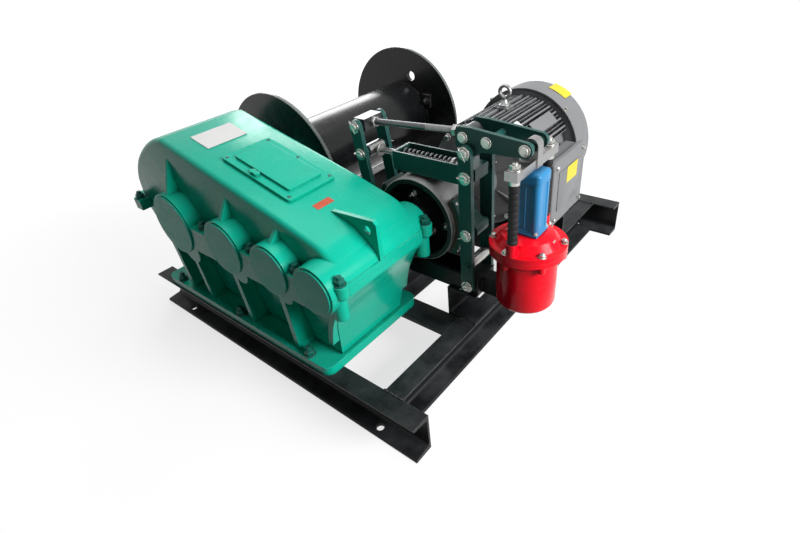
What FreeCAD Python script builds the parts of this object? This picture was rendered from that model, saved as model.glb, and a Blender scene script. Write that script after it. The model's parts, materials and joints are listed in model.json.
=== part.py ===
import FreeCAD, Part
import math
import os
from FreeCAD import Vector

# Electric wire-rope mooring winch. Own frame: +Z up, floor at z = 0, origin in the
# middle of the footprint. X runs along the gear case, Y along the drum and the motor.
# All sizes in millimetres.

os.makedirs("parts", exist_ok=True)

# ---------------------------------------------------------------- driving dimensions
# base frame of 100 x 48 channel
FOOTPRINT_X = 1088.0            # left end of the frame to the right side of the thruster
FOOTPRINT_Y = 1064.0            # over the two long channels
CHANNEL_H = 100.0
CHANNEL_B = 48.0
CHANNEL_WEB = 5.3
CHANNEL_FLANGE = 8.5
RAIL_INSET = 64.0               # frame end to the outer edge of a side rail
RIGHT_RAIL_BACK = 27.0          # right rail's web behind the right brake arm
INNER_RAIL_X = 165.0            # inner rail's web to the input shaft
CROSS_PLATE = (66.0, 10.0)      # width, thickness
FOUNDATION_R = 9.0              # bolt holes through the bottom flanges
FOUNDATION_X = 745.0            # between them along X

# shafts, from the left end of the frame: all four lie in the joint plane of the gear case
AXIS_Z = 340.0
SHAFT_PLACES = (250.0, 462.0, 624.0, 755.0)     # drum shaft, two gear shafts, input shaft
BOSS_R = (80.0, 67.0, 60.0, 54.0)

# gear case
CASE_HALF = 105.0               # over the outside of the walls
CASE_WALL = 10.0
TUB_HALF = 99.0                 # the lower case is a little narrower
JOINT_HALF = 117.0              # half width of the joint flange
JOINT_T = 14.0
JOINT_ENDS = (4.0, 811.0)       # from the left end of the frame
EAR = (30.0, 62.0)              # ears at the left end: reach past the flange, length
BOSS_HALF = 156.0               # near boss faces to the case's middle plane
FAR_BOSS_STEP = 14.0            # the far boss faces stand back by this much
BAND_DROP = 50.0                # band between the bosses, below the joint
LUG_R = 15.0                    # round lugs of the corner bolts
LUG_H = 60.0
FOOT_ENDS = (70.0, 742.0)       # from the left end of the frame
FOOT_T = 22.0
CAP_T = 4.0
RIB_T = 12.0
RIB_RISE = (150.0, 103.0, 69.0)             # upper ribs, apex above the joint
LOW_RIBS = (190.0, 282.0, 462.0, 632.0)     # lower ribs, from the left end of the frame
# side outlines, (from the left end of the frame, height over the joint or the foot)
COVER_LEFT = ((32, 0), (32, 32), (42, 72), (78, 119), (138, 162), (200, 191), (250, 202))
COVER_RIGHT = ((575, 121), (660, 94), (715, 69), (758, 42), (784, 17), (793, 0))
TUB_LEFT = ((162, 0), (158, 40), (138, 80), (80, 142), (44, 198), (38, 220))
TUB_RIGHT = ((800, 220), (788, 180), (755, 115), (738, 45), (730, 0))
HATCH = (220.0, 132.0, 8.0, 512.0)          # inspection cover: length, width, thickness, place

# drum
DRUM_GAP = 37.0                 # gear case's boss faces to the near flange
DRUM_LENGTH = 557.0             # over the two flanges
DRUM_FLANGE_R = 220.0
DRUM_FLANGE_T = 12.0
DRUM_R = 109.5
DRUM_WALL = 12.0
DRUM_SHAFT_R = 35.0
ROPE_HOLE = (141.0, 70.5, 15.0)             # distance from the axis, angle, radius
PEDESTAL_Y = (62.0, 2.0)        # pedestal faces, from the far side of the frame

# brake wheel and shoes
BRAKE_GAP = 48.0                # gear case's boss plane to the middle plane of the brake
WHEEL_R = 100.0
WHEEL_W = 90.0
RIM_T = 12.0
INPUT_SHAFT_R = 20.0
RIGHT_ARM = 135.0               # right arm's centre line to the wheel's axis
LEFT_ARM = (113.0, 152.0)       # left arm to the wheel's axis, at its pivot and its top pin
ARM_W = 30.0
ARM_T = 10.0
ARM_HALF = 45.0                 # outer face of an arm plate to the middle plane
ARM_PIVOT_Z = 207.0
ARM_PIN_R = 8.0
PIVOT_PIN_R = 9.0
LINING_T = 8.0
SHOE_W = 66.0
FULCRUM_Z = 523.0               # lever pivot at the top of the right arm
TIE_Z = (533.0, 549.0)          # tie rod, left and right ends
TIE_BACK = 10.0                 # tie rod's right end, left of the lever's pivot
SPRING_Z = 471.0
TROUGH = (173.0, 58.0, 42.0)    # spring housing: length, width, height
BASE_BAR_Z = (182.0, 226.0)
RISER_LENGTH = 84.0

# thruster
LID_R = 78.0
TANK_R = 62.0
TANK_Z = (206.0, 334.0)
ROD_SPACING = 132.0
PUSH_ROD_R = 6.0
SOCKET_R = 12.0
BLUE_MOTOR = (52.0, 44.0, 118.0)            # thruster's motor: X, Y, height
LEVER_PIN_Z = 545.0

# motor
MOTOR_CENTRE_H = 160.0          # foot to shaft
MOTOR_BACK = 228.0              # brake's middle plane to the front of the finned body
MOTOR_LENGTH = 236.0
MOTOR_CORE_R = 120.0
MOTOR_FIN_R = 140.0
FIN_COUNT = 40
MOTOR_FOOT_X = (95.0, 160.0)    # a foot's inner and outer edge, from the shaft
COWL_LENGTH = 108.0
COWL_LAP = 4.0                  # cowl over the end of the finned body
COWL_R = 157.0
MOTOR_SHAFT_R = 19.0

# clearances
RUN = 0.05                      # radial, shaft or pin in a bore that turns on it
GAP = 0.3                       # between neighbours that are not joined
SHOE_GAP = 0.4                  # lining to wheel with the brake on
EYE_PLAY = 0.9                  # tie rod eye on the lever's pin
SLOT_PLAY = 4.2                 # crosshead slot, each way along X

# ---------------------------------------------------------------- derived places
LEFT = -FOOTPRINT_X / 2
FRONT = -FOOTPRINT_Y / 2
FAR = FOOTPRINT_Y / 2
FRONT_WEB = FRONT + CHANNEL_B
FAR_TIPS = FAR - CHANNEL_B
SHAFT_X = [LEFT + place for place in SHAFT_PLACES]
DRUM_X = SHAFT_X[0]
INPUT_X = SHAFT_X[3]
RIGHT_ARM_X = INPUT_X + RIGHT_ARM
RIGHT_WEB = RIGHT_ARM_X - RIGHT_RAIL_BACK
LEFT_WEB = LEFT + RAIL_INSET + CHANNEL_B
RIGHT = RIGHT_WEB + CHANNEL_B + RAIL_INSET
INNER_WEB = INPUT_X - INNER_RAIL_X
CASE_Y = FRONT + BOSS_HALF + CAP_T
BRAKE_Y = CASE_Y + BOSS_HALF + BRAKE_GAP
DRUM_Y = (CASE_Y + BOSS_HALF + DRUM_GAP, CASE_Y + BOSS_HALF + DRUM_GAP + DRUM_LENGTH)
MOTOR_Y = (BRAKE_Y + MOTOR_BACK, BRAKE_Y + MOTOR_BACK + MOTOR_LENGTH)
COWL_Y = (MOTOR_Y[1] - COWL_LAP, MOTOR_Y[1] - COWL_LAP + COWL_LENGTH)
MOTOR_FOOT_Z = AXIS_Z - MOTOR_CENTRE_H
THRUSTER_X = LEFT + FOOTPRINT_X - LID_R
FOOT_TOP = CHANNEL_H + FOOT_T
BIG = FOOTPRINT_X               # reach of the cutting boxes
X, Y, Z = Vector(1, 0, 0), Vector(0, 1, 0), Vector(0, 0, 1)


# ---------------------------------------------------------------- building blocks
def box(x, y, z):
    """Box from three (low, high) pairs."""
    return Part.makeBox(x[1] - x[0], y[1] - y[0], z[1] - z[0], Vector(x[0], y[0], z[0]))


def rod_y(x, z, y, radius):
    """Cylinder along Y between y[0] and y[1]."""
    return Part.makeCylinder(radius, y[1] - y[0], Vector(x, y[0], z), Y)


def rod_z(x, y, z, radius):
    """Cylinder along Z between z[0] and z[1]."""
    return Part.makeCylinder(radius, z[1] - z[0], Vector(x, y, z[0]), Z)


def rod_x(x, y, z, radius):
    """Cylinder along X between x[0] and x[1]."""
    return Part.makeCylinder(radius, x[1] - x[0], Vector(x[0], y, z), X)


def joined(shapes):
    """One clean solid from touching or overlapping shapes."""
    return shapes[0].fuse(list(shapes[1:])).removeSplitter()


def plate_xz(points, y):
    """Flat plate with an XZ outline, between y[0] and y[1]."""
    wire = Part.makePolygon([Vector(px, y[0], pz) for px, pz in points + points[:1]])
    return Part.Face(wire).extrude(Vector(0, y[1] - y[0], 0))


def turned_y(x, z, profile):
    """Solid of revolution about a Y axis through (x, z); profile is (y, radius) points."""
    points = [Vector(x, py, z + pr) for py, pr in profile + profile[:1]]
    return Part.Face(Part.makePolygon(points)).revolve(Vector(x, 0, z), Y, 360)


def turned_z(x, y, profile):
    """Solid of revolution about a Z axis through (x, y); profile is (radius, z) points."""
    points = [Vector(x + pr, y, pz) for pr, pz in profile + profile[:1]]
    return Part.Face(Part.makePolygon(points)).revolve(Vector(x, y, 0), Z, 360)


def rounded(shape, radius, chosen):
    """Fillet the edges whose middle point satisfies chosen(point, edge)."""
    edges = []
    for edge in shape.Edges:
        middle = edge.valueAt((edge.FirstParameter + edge.LastParameter) / 2)
        if chosen(middle, edge):
            edges.append(edge)
    return shape.makeFillet(radius, edges)


def upright(middle, edge):
    """True for a straight edge along Z."""
    return len(edge.Vertexes) == 2 and abs(edge.tangentAt(edge.FirstParameter).z) > 0.99


def link_plate(pins, y, width, bores):
    """Plate with round ends around a row of pin centres (x, z), bored at each pin."""
    (x0, z0), (x1, z1) = pins[0], pins[-1]
    length = math.hypot(x1 - x0, z1 - z0)
    nx, nz = -(z1 - z0) / length * width / 2, (x1 - x0) / length * width / 2
    bar = plate_xz([(x0 + nx, z0 + nz), (x1 + nx, z1 + nz), (x1 - nx, z1 - nz), (x0 - nx, z0 - nz)], y)
    plate = joined([bar, rod_y(x0, z0, y, width / 2), rod_y(x1, z1, y, width / 2)])
    for (px, pz), radius in zip(pins, bores):
        if radius > 0:
            plate = plate.cut(rod_y(px, pz, (y[0] - 1, y[1] + 1), radius))
    return plate


def channel(start, run, length, out, up=Z, height=CHANNEL_H, flange=CHANNEL_B,
            web_t=CHANNEL_WEB, flange_t=CHANNEL_FLANGE):
    """Rolled channel: web back on start, running along run, flanges pointing out."""
    profile = [(0, 0), (flange, 0), (flange, flange_t * 0.7), (web_t, flange_t * 1.2),
               (web_t, height - flange_t * 1.2), (flange, height - flange_t * 0.7),
               (flange, height), (0, height)]
    points = [start + out * u + up * v for u, v in profile]
    solid = Part.Face(Part.makePolygon(points + points[:1])).extrude(run * length)
    root = [start + out * web_t + up * v for v in (flange_t * 1.2, height - flange_t * 1.2)]
    tip = [start + out * flange + up * v for v in (flange_t * 0.7, height - flange_t * 0.7)]

    def near(middle, corners):
        return any((middle - c - run * length / 2).Length < 1.0 for c in corners)

    solid = rounded(solid, flange_t, lambda m, e: near(m, root))
    return rounded(solid, flange_t * 0.5, lambda m, e: near(m, tip))


# ---------------------------------------------------------------- base frame
def build_frame():
    """The channels, the plate under the gear case and the seats on the rails."""
    rail_length = FAR_TIPS - FRONT_WEB
    plate_far = CASE_Y + BOSS_HALF + 7
    plate_y = (plate_far - CROSS_PLATE[0], plate_far)
    parts = {
        "front_channel": channel(Vector(LEFT, FRONT_WEB, 0), X, RIGHT - LEFT, -Y),
        "far_channel": channel(Vector(LEFT, FAR, 0), X, RIGHT - LEFT, -Y),
        "right_rail": channel(Vector(RIGHT_WEB, FRONT_WEB, 0), Y, rail_length, X),
        "left_rail": channel(Vector(LEFT_WEB, FRONT_WEB, 0), Y, rail_length, -X),
        "cross_plate": box((LEFT_WEB, RIGHT_WEB), plate_y, (CHANNEL_H - CROSS_PLATE[1], CHANNEL_H)),
        "inner_rail": channel(Vector(INNER_WEB, plate_far, 0), Y, FAR_TIPS - plate_far, X),
    }
    for name, hole_y in (("front_channel", FRONT + 20), ("far_channel", FAR_TIPS + 20)):
        for side in (-1, 1):
            hole_x = (LEFT + RIGHT) / 2 + side * FOUNDATION_X / 2
            hole = rod_z(hole_x, hole_y, (-1, 2 * CHANNEL_FLANGE), FOUNDATION_R)
            parts[name] = parts[name].cut(hole)

    # seats that lift the motor's feet and the brake's base off the rails
    seat_length = RIGHT_WEB + CHANNEL_B - INNER_WEB
    for name, seat_y, out in (("motor_seat_front", MOTOR_Y[0] + 21, Y), ("motor_seat_rear", MOTOR_Y[1] - 41, -Y)):
        parts[name] = channel(Vector(INNER_WEB, seat_y, CHANNEL_H), X, seat_length, out,
                              height=MOTOR_FOOT_Z - CHANNEL_H)
    riser_y = BRAKE_Y - RISER_LENGTH / 2
    for name, web_x, edge in (("brake_riser_left", INNER_WEB, INNER_WEB + CHANNEL_B),
                              ("brake_riser_right", RIGHT_WEB - 30, RIGHT_WEB + CHANNEL_B)):
        parts[name] = channel(Vector(web_x, riser_y, CHANNEL_H), Y, RISER_LENGTH, X,
                              height=BASE_BAR_Z[0] - CHANNEL_H, flange=edge - web_x, web_t=6.0, flange_t=7.0)
    return parts


def build_pedestal():
    """Bearing pedestal that carries the far end of the drum shaft."""
    y = (FAR - PEDESTAL_Y[0], FAR - PEDESTAL_Y[1])
    z0 = CHANNEL_H
    foot = rounded(box((DRUM_X - 110, DRUM_X + 110), y, (z0, z0 + 20)), 10, upright)
    neck = plate_xz([(DRUM_X - 85, z0 + 20), (DRUM_X + 85, z0 + 20), (DRUM_X + 60, AXIS_Z),
                     (DRUM_X - 60, AXIS_Z)], (y[0] + 8, y[1] - 8))
    window = plate_xz([(DRUM_X - 48, z0 + 45), (DRUM_X + 48, z0 + 45), (DRUM_X + 36, AXIS_Z - 90),
                       (DRUM_X - 36, AXIS_Z - 90)], (y[0] - 1, y[0] + 22))
    housing = rod_y(DRUM_X, AXIS_Z, y, 62)
    lugs = box((DRUM_X - 88, DRUM_X + 88), (y[0] + 10, y[1] - 10), (AXIS_Z - 16, AXIS_Z + 16))
    solid = joined([foot, neck.cut(window), housing, lugs])
    split = box((DRUM_X - 90, DRUM_X + 90), (y[0] - 1, y[1] + 1), (AXIS_Z - 0.6, AXIS_Z + 0.6))
    solid = solid.cut(split.cut(rod_y(DRUM_X, AXIS_Z, y, 60)))
    bore = rod_y(DRUM_X, AXIS_Z, (y[0] - 1, y[1] - 8), DRUM_SHAFT_R + RUN)
    return {"drum_pedestal": solid.cut(bore)}


# ---------------------------------------------------------------- gear case
def inset_row(points, distance):
    """Move a row of (x, z) points to the right of its direction; the ends keep their height."""
    moved = []
    for index, (px, pz) in enumerate(points):
        ax, az = points[max(index - 1, 0)]
        bx, bz = points[min(index + 1, len(points) - 1)]
        length = math.hypot(bx - ax, bz - az)
        nx, nz = (bz - az) / length, -(bx - ax) / length
        if index in (0, len(points) - 1):
            nx, nz = math.copysign(1.0, nx) if abs(nx) > 0.5 else 0.0, nz if abs(nx) <= 0.5 else 0.0
        moved.append((px + nx * distance, pz + nz * distance))
    return moved


def side_outline(left, right):
    """Closed XZ wire: a curve through the left points, a line, a curve through the right ones, a line."""
    curves = []
    for points in (left, right):
        curve = Part.BSplineCurve()
        curve.interpolate([Vector(*xz(point)) for point in points])
        curves.append(curve.toShape())
    first = Part.LineSegment(Vector(*xz(left[-1])), Vector(*xz(right[0]))).toShape()
    last = Part.LineSegment(Vector(*xz(right[-1])), Vector(*xz(left[0]))).toShape()
    return Part.Wire([curves[0], first, curves[1], last])


def placed(points, base):
    """Outline points moved to the frame's left end and to a base height."""
    return [(LEFT + px, base + pz) for px, pz in points]


def cover_outline(inset):
    """Upper case seen from the side: round left end, sloping top, rounded right end."""
    left = inset_row(placed(COVER_LEFT, AXIS_Z), inset)
    return side_outline(left, inset_row(placed(COVER_RIGHT, AXIS_Z), inset))


def tub_outline(inset):
    """Lower case seen from the side: wide at the joint, drawn in towards the foot."""
    scale = (AXIS_Z - FOOT_TOP + 2 - inset) / TUB_LEFT[-1][1]
    rows = []
    for points in (TUB_LEFT, TUB_RIGHT):
        scaled = [(px, pz * scale) for px, pz in points]
        rows.append(inset_row(placed(scaled, FOOT_TOP - 2 + inset), inset))
    return side_outline(*rows)


def xz(point):
    """(x, z) as the three numbers of a point in the XZ plane."""
    return point[0], 0.0, point[1]


def slab_of(wire, half):
    """Extrude an XZ wire to both sides of the gear case's middle plane."""
    face = Part.Face(wire)
    face.translate(Vector(0, CASE_Y - half, 0))
    return face.extrude(Vector(0, 2 * half, 0))


def joint_flange(z):
    """Half of the joint flange, with small round corners and the ears at its left end."""
    x0, x1 = LEFT + JOINT_ENDS[0], LEFT + JOINT_ENDS[1]
    flange = rounded(box((x0, x1), (CASE_Y - JOINT_HALF, CASE_Y + JOINT_HALF), z), 8, upright)
    reach = JOINT_HALF + EAR[0]
    points = [(x0, -reach + EAR[0]), (x0, reach - EAR[0]), (x0 + EAR[0], reach), (x0 + EAR[1], reach),
              (x0 + EAR[1], -reach), (x0 + EAR[0], -reach)]
    corners = [Vector(px, CASE_Y + py, z[0]) for px, py in points + points[:1]]
    ears = Part.Face(Part.makePolygon(corners)).extrude(Vector(0, 0, z[1] - z[0]))
    return joined([flange, ears])


def boss_row(low):
    """The four bearing bosses and the band between them, on one side of the joint."""
    faces = (CASE_Y - BOSS_HALF, CASE_Y + BOSS_HALF - FAR_BOSS_STEP)
    shapes = [rod_y(sx, AXIS_Z, faces, r) for sx, r in zip(SHAFT_X, BOSS_R)]
    if low:
        band_z, half_z = (AXIS_Z - BAND_DROP, AXIS_Z), (AXIS_Z - BIG, AXIS_Z)
        for sx, r in zip(SHAFT_X[:3], BOSS_R[:3]):
            shapes.append(rod_y(sx + 0.55 * r, AXIS_Z - 0.75 * r, faces, 0.42 * r))
    else:
        band_z, half_z = (AXIS_Z, AXIS_Z + JOINT_T), (AXIS_Z, AXIS_Z + BIG)
    shapes.append(box((SHAFT_X[0], SHAFT_X[3]), faces, band_z))
    return joined(shapes).common(box((-BIG, BIG), (-BIG, BIG), half_z))


def bearing_bores():
    """Shaft bores: blind behind the near caps, open at the far side for both shaft ends."""
    bores = []
    for index, radius in ((0, DRUM_SHAFT_R), (3, INPUT_SHAFT_R)):
        y = (CASE_Y - BOSS_HALF - 1, CASE_Y + BOSS_HALF + 1)
        bores.append(rod_y(SHAFT_X[index], AXIS_Z, y, radius + RUN))
    return bores


def corner_lugs(z):
    """Round lugs of the two bolts at the right end of the joint."""
    x = LEFT + JOINT_ENDS[1] - LUG_R
    return [rod_z(x, CASE_Y + side * (JOINT_HALF + 12), z, LUG_R) for side in (-1, 1)]


def side_rib(x, thickness, points, side):
    """Flat rib across the case's side wall; points are (out from the middle plane, z)."""
    corners = [Vector(x - thickness / 2, CASE_Y + side * py, pz) for py, pz in points + points[:1]]
    return Part.Face(Part.makePolygon(corners)).extrude(Vector(thickness, 0, 0))


def build_gear_case():
    """Lower case with foot and ribs, upper case, inspection cover and bearing caps."""
    foot_x = (LEFT + FOOT_ENDS[0], LEFT + FOOT_ENDS[1])
    foot = box(foot_x, (CASE_Y - BOSS_HALF, CASE_Y + BOSS_HALF), (CHANNEL_H, FOOT_TOP))
    foot = rounded(foot, 22, upright)
    foot = foot.cut(box((foot_x[0] + 60, foot_x[1] - 60), (CASE_Y - 60, CASE_Y + 60),
                        (CHANNEL_H, CHANNEL_H + 6)))

    # lower case: both ends run inwards to the foot, the right end has a raised rim
    joint_low = AXIS_Z - JOINT_T
    rim = slab_of(tub_outline(0.0), JOINT_HALF + 8).cut(slab_of(tub_outline(RIB_T), JOINT_HALF + 20))
    rim = rim.common(box((SHAFT_X[3] - 60, BIG), (-BIG, BIG), (FOOT_TOP + 50, AXIS_Z)))
    pieces = [slab_of(tub_outline(0.0), TUB_HALF), joint_flange((joint_low, AXIS_Z)), foot, boss_row(True), rim]
    for side, reach in ((-1, BOSS_HALF), (1, BOSS_HALF - FAR_BOSS_STEP)):
        for place, boss, radius in zip(LOW_RIBS, (0, 0, 1, 2), (BOSS_R[0], BOSS_R[0], BOSS_R[1], BOSS_R[2])):
            points = [(TUB_HALF - 20, FOOT_TOP - 2), (reach - 12, FOOT_TOP - 2),
                      (reach - 4, AXIS_Z - 0.7 * radius), (TUB_HALF - 20, AXIS_Z - 0.7 * radius)]
            pieces.append(side_rib(LEFT + place, RIB_T + 3, points, side))
    pieces += corner_lugs((AXIS_Z - LUG_H, AXIS_Z))
    tub = joined(pieces)
    hollow = slab_of(tub_outline(CASE_WALL), TUB_HALF - CASE_WALL)
    tub = tub.cut(hollow.cut(boss_row(True)))
    for bore in bearing_bores():
        tub = tub.cut(bore)

    # upper case
    cover = slab_of(cover_outline(0.0), CASE_HALF)
    cover = rounded(cover, 24, lambda m, e: abs(abs(m.y - CASE_Y) - CASE_HALF) < 0.01 and m.z > AXIS_Z + 0.5)
    pieces = [cover, joint_flange((AXIS_Z, AXIS_Z + JOINT_T)), boss_row(False)]
    for side, reach in ((-1, BOSS_HALF), (1, BOSS_HALF - FAR_BOSS_STEP)):
        for rib_x, radius, rise in zip(SHAFT_X, BOSS_R, RIB_RISE):
            foot_z = AXIS_Z + radius - 4
            points = [(CASE_HALF - 4, foot_z), (reach - 8, foot_z), (CASE_HALF - 4, AXIS_Z + rise)]
            pieces.append(side_rib(rib_x, RIB_T, points, side))
    pieces += corner_lugs((AXIS_Z, AXIS_Z + JOINT_T))
    end_x = LEFT + COVER_RIGHT[-1][0]
    end_rib = plate_xz([(end_x - 113, AXIS_Z + 60), (end_x - 103, AXIS_Z + 93), (end_x + 11, AXIS_Z + 100),
                        (end_x + 18, AXIS_Z + 93), (end_x + 18, AXIS_Z + 2), (end_x - 43, AXIS_Z + 2)],
                       (CASE_Y - 22, CASE_Y - 12))
    end_rib = end_rib.cut(rod_y(end_x - 8, AXIS_Z + 76, (CASE_Y - 30, CASE_Y), 10))
    cover = joined(pieces + [end_rib])
    inside = slab_of(cover_outline(CASE_WALL), CASE_HALF - CASE_WALL)
    cover = cover.cut(inside.cut(boss_row(False)))
    for bore in bearing_bores():
        cover = cover.cut(bore)

    parts = {"gearbox_base": tub, "gearbox_cover": cover, "inspection_cover": build_hatch()}
    for index, (sx, radius) in enumerate(zip(SHAFT_X, BOSS_R)):
        y = CASE_Y - BOSS_HALF
        parts["bearing_cap_%d" % (index + 1)] = rod_y(sx, AXIS_Z, (y - CAP_T, y), radius - 5)
    return parts


def build_hatch():
    """Inspection cover on the sloping top: a plate with a raised pad and a small knob."""
    length, width, thickness, place = HATCH
    (x0, z0), (x1, z1) = COVER_LEFT[-1], COVER_RIGHT[0]
    plate = rounded(box((-length / 2, length / 2), (-width / 2, width / 2), (0.2, thickness)), 8, upright)
    pad = box((-length / 2 + 22, length / 2 - 22), (-width / 2 + 20, width / 2 - 20), (thickness - 1, thickness + 6))
    knobs = [rod_z(-14 + shift, -width / 2 + 11, (thickness - 1, thickness + 7), 7) for shift in (0, 11)]
    hatch = joined([plate, rounded(pad, 5, upright)] + knobs)
    hatch.rotate(Vector(0, 0, 0), Y, math.degrees(math.atan2(z0 - z1, x1 - x0)))
    hatch.translate(Vector(LEFT + place, CASE_Y, AXIS_Z + z0 - (place - x0) * (z0 - z1) / (x1 - x0)))
    return hatch


# ---------------------------------------------------------------- drum
def build_drum():
    """Rope drum: shell, two flanges and the shaft they are fixed to."""
    y0, y1 = DRUM_Y
    t = DRUM_FLANGE_T
    shell = rod_y(DRUM_X, AXIS_Z, (y0 + t, y1 - t), DRUM_R)
    shell = shell.cut(rod_y(DRUM_X, AXIS_Z, (y0 + t - 1, y1 - t + 1), DRUM_R - DRUM_WALL))
    flanges = {}
    for name, start in (("drum_flange_near", y0), ("drum_flange_far", y1 - t)):
        disc = rod_y(DRUM_X, AXIS_Z, (start, start + t), DRUM_FLANGE_R)
        disc = rounded(disc, 2.5, lambda m, e: e.Length > 4 * DRUM_FLANGE_R)
        flanges[name] = disc.cut(rod_y(DRUM_X, AXIS_Z, (start - 1, start + t + 1), DRUM_SHAFT_R))
    out, angle, hole_r = ROPE_HOLE[0], math.radians(ROPE_HOLE[1]), ROPE_HOLE[2]
    hole = rod_y(DRUM_X + out * math.cos(angle), AXIS_Z + out * math.sin(angle), (y1 - t - 1, y1 + 1), hole_r)
    flanges["drum_flange_far"] = flanges["drum_flange_far"].cut(hole)
    case_far = CASE_Y + BOSS_HALF - FAR_BOSS_STEP
    collar_near = rod_y(DRUM_X, AXIS_Z, (case_far + 8, y0), 55)
    collar_far = rod_y(DRUM_X, AXIS_Z, (y1, FAR - PEDESTAL_Y[0] - 8), 55)
    shaft = rod_y(DRUM_X, AXIS_Z, (CASE_Y - BOSS_HALF + 12, FAR - 12), DRUM_SHAFT_R)
    shaft = joined([shaft, collar_near, collar_far])
    return {"drum_shell": shell, "drum_shaft": shaft, **flanges}


# ---------------------------------------------------------------- brake wheel and motor
def build_input_line():
    """Input shaft, brake wheel, motor half of the coupling and the motor's shaft."""
    y0, y1 = BRAKE_Y - WHEEL_W / 2, BRAKE_Y + WHEEL_W / 2
    rim_in = WHEEL_R - RIM_T
    shaft = rod_y(INPUT_X, AXIS_Z, (CASE_Y - BOSS_HALF + 12, y1 - 14), INPUT_SHAFT_R)
    profile = [(y0 + 2, INPUT_SHAFT_R), (y0 + 2, 36), (y1 - 32, 40), (y1 - 32, rim_in - 3), (y0 + 8, rim_in),
               (y0, rim_in), (y0, WHEEL_R - 1.5), (y0 + 1.5, WHEEL_R), (y1 - 1.5, WHEEL_R), (y1, WHEEL_R - 1.5),
               (y1, rim_in), (y1 - 16, rim_in - 3), (y1 - 16, INPUT_SHAFT_R)]
    wheel = turned_y(INPUT_X, AXIS_Z, profile)
    half_y = (y1 - 10, y1 + 20)
    half = turned_y(INPUT_X, AXIS_Z, [(half_y[0], MOTOR_SHAFT_R), (half_y[0], 72), (half_y[1], 72), (half_y[1], 40),
                                      (half_y[1] + 50, 36), (half_y[1] + 50, MOTOR_SHAFT_R)])
    for turn in range(6):
        angle = math.radians(60 * turn + 30)
        px, pz = INPUT_X + 56 * math.cos(angle), AXIS_Z + 56 * math.sin(angle)
        half = half.fuse(rod_y(px, pz, (y1 - 16, half_y[0] + 1), 9))
    half = half.removeSplitter()
    motor_shaft = rod_y(INPUT_X, AXIS_Z, (half_y[0] + 2, COWL_Y[1] - 50), MOTOR_SHAFT_R)
    return {"input_shaft": shaft, "brake_wheel": wheel, "motor_coupling": half, "motor_shaft": motor_shaft}


def along_x(middle, edge):
    """True for a straight edge along X."""
    return len(edge.Vertexes) == 2 and abs(edge.tangentAt(edge.FirstParameter).x) > 0.99


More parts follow.
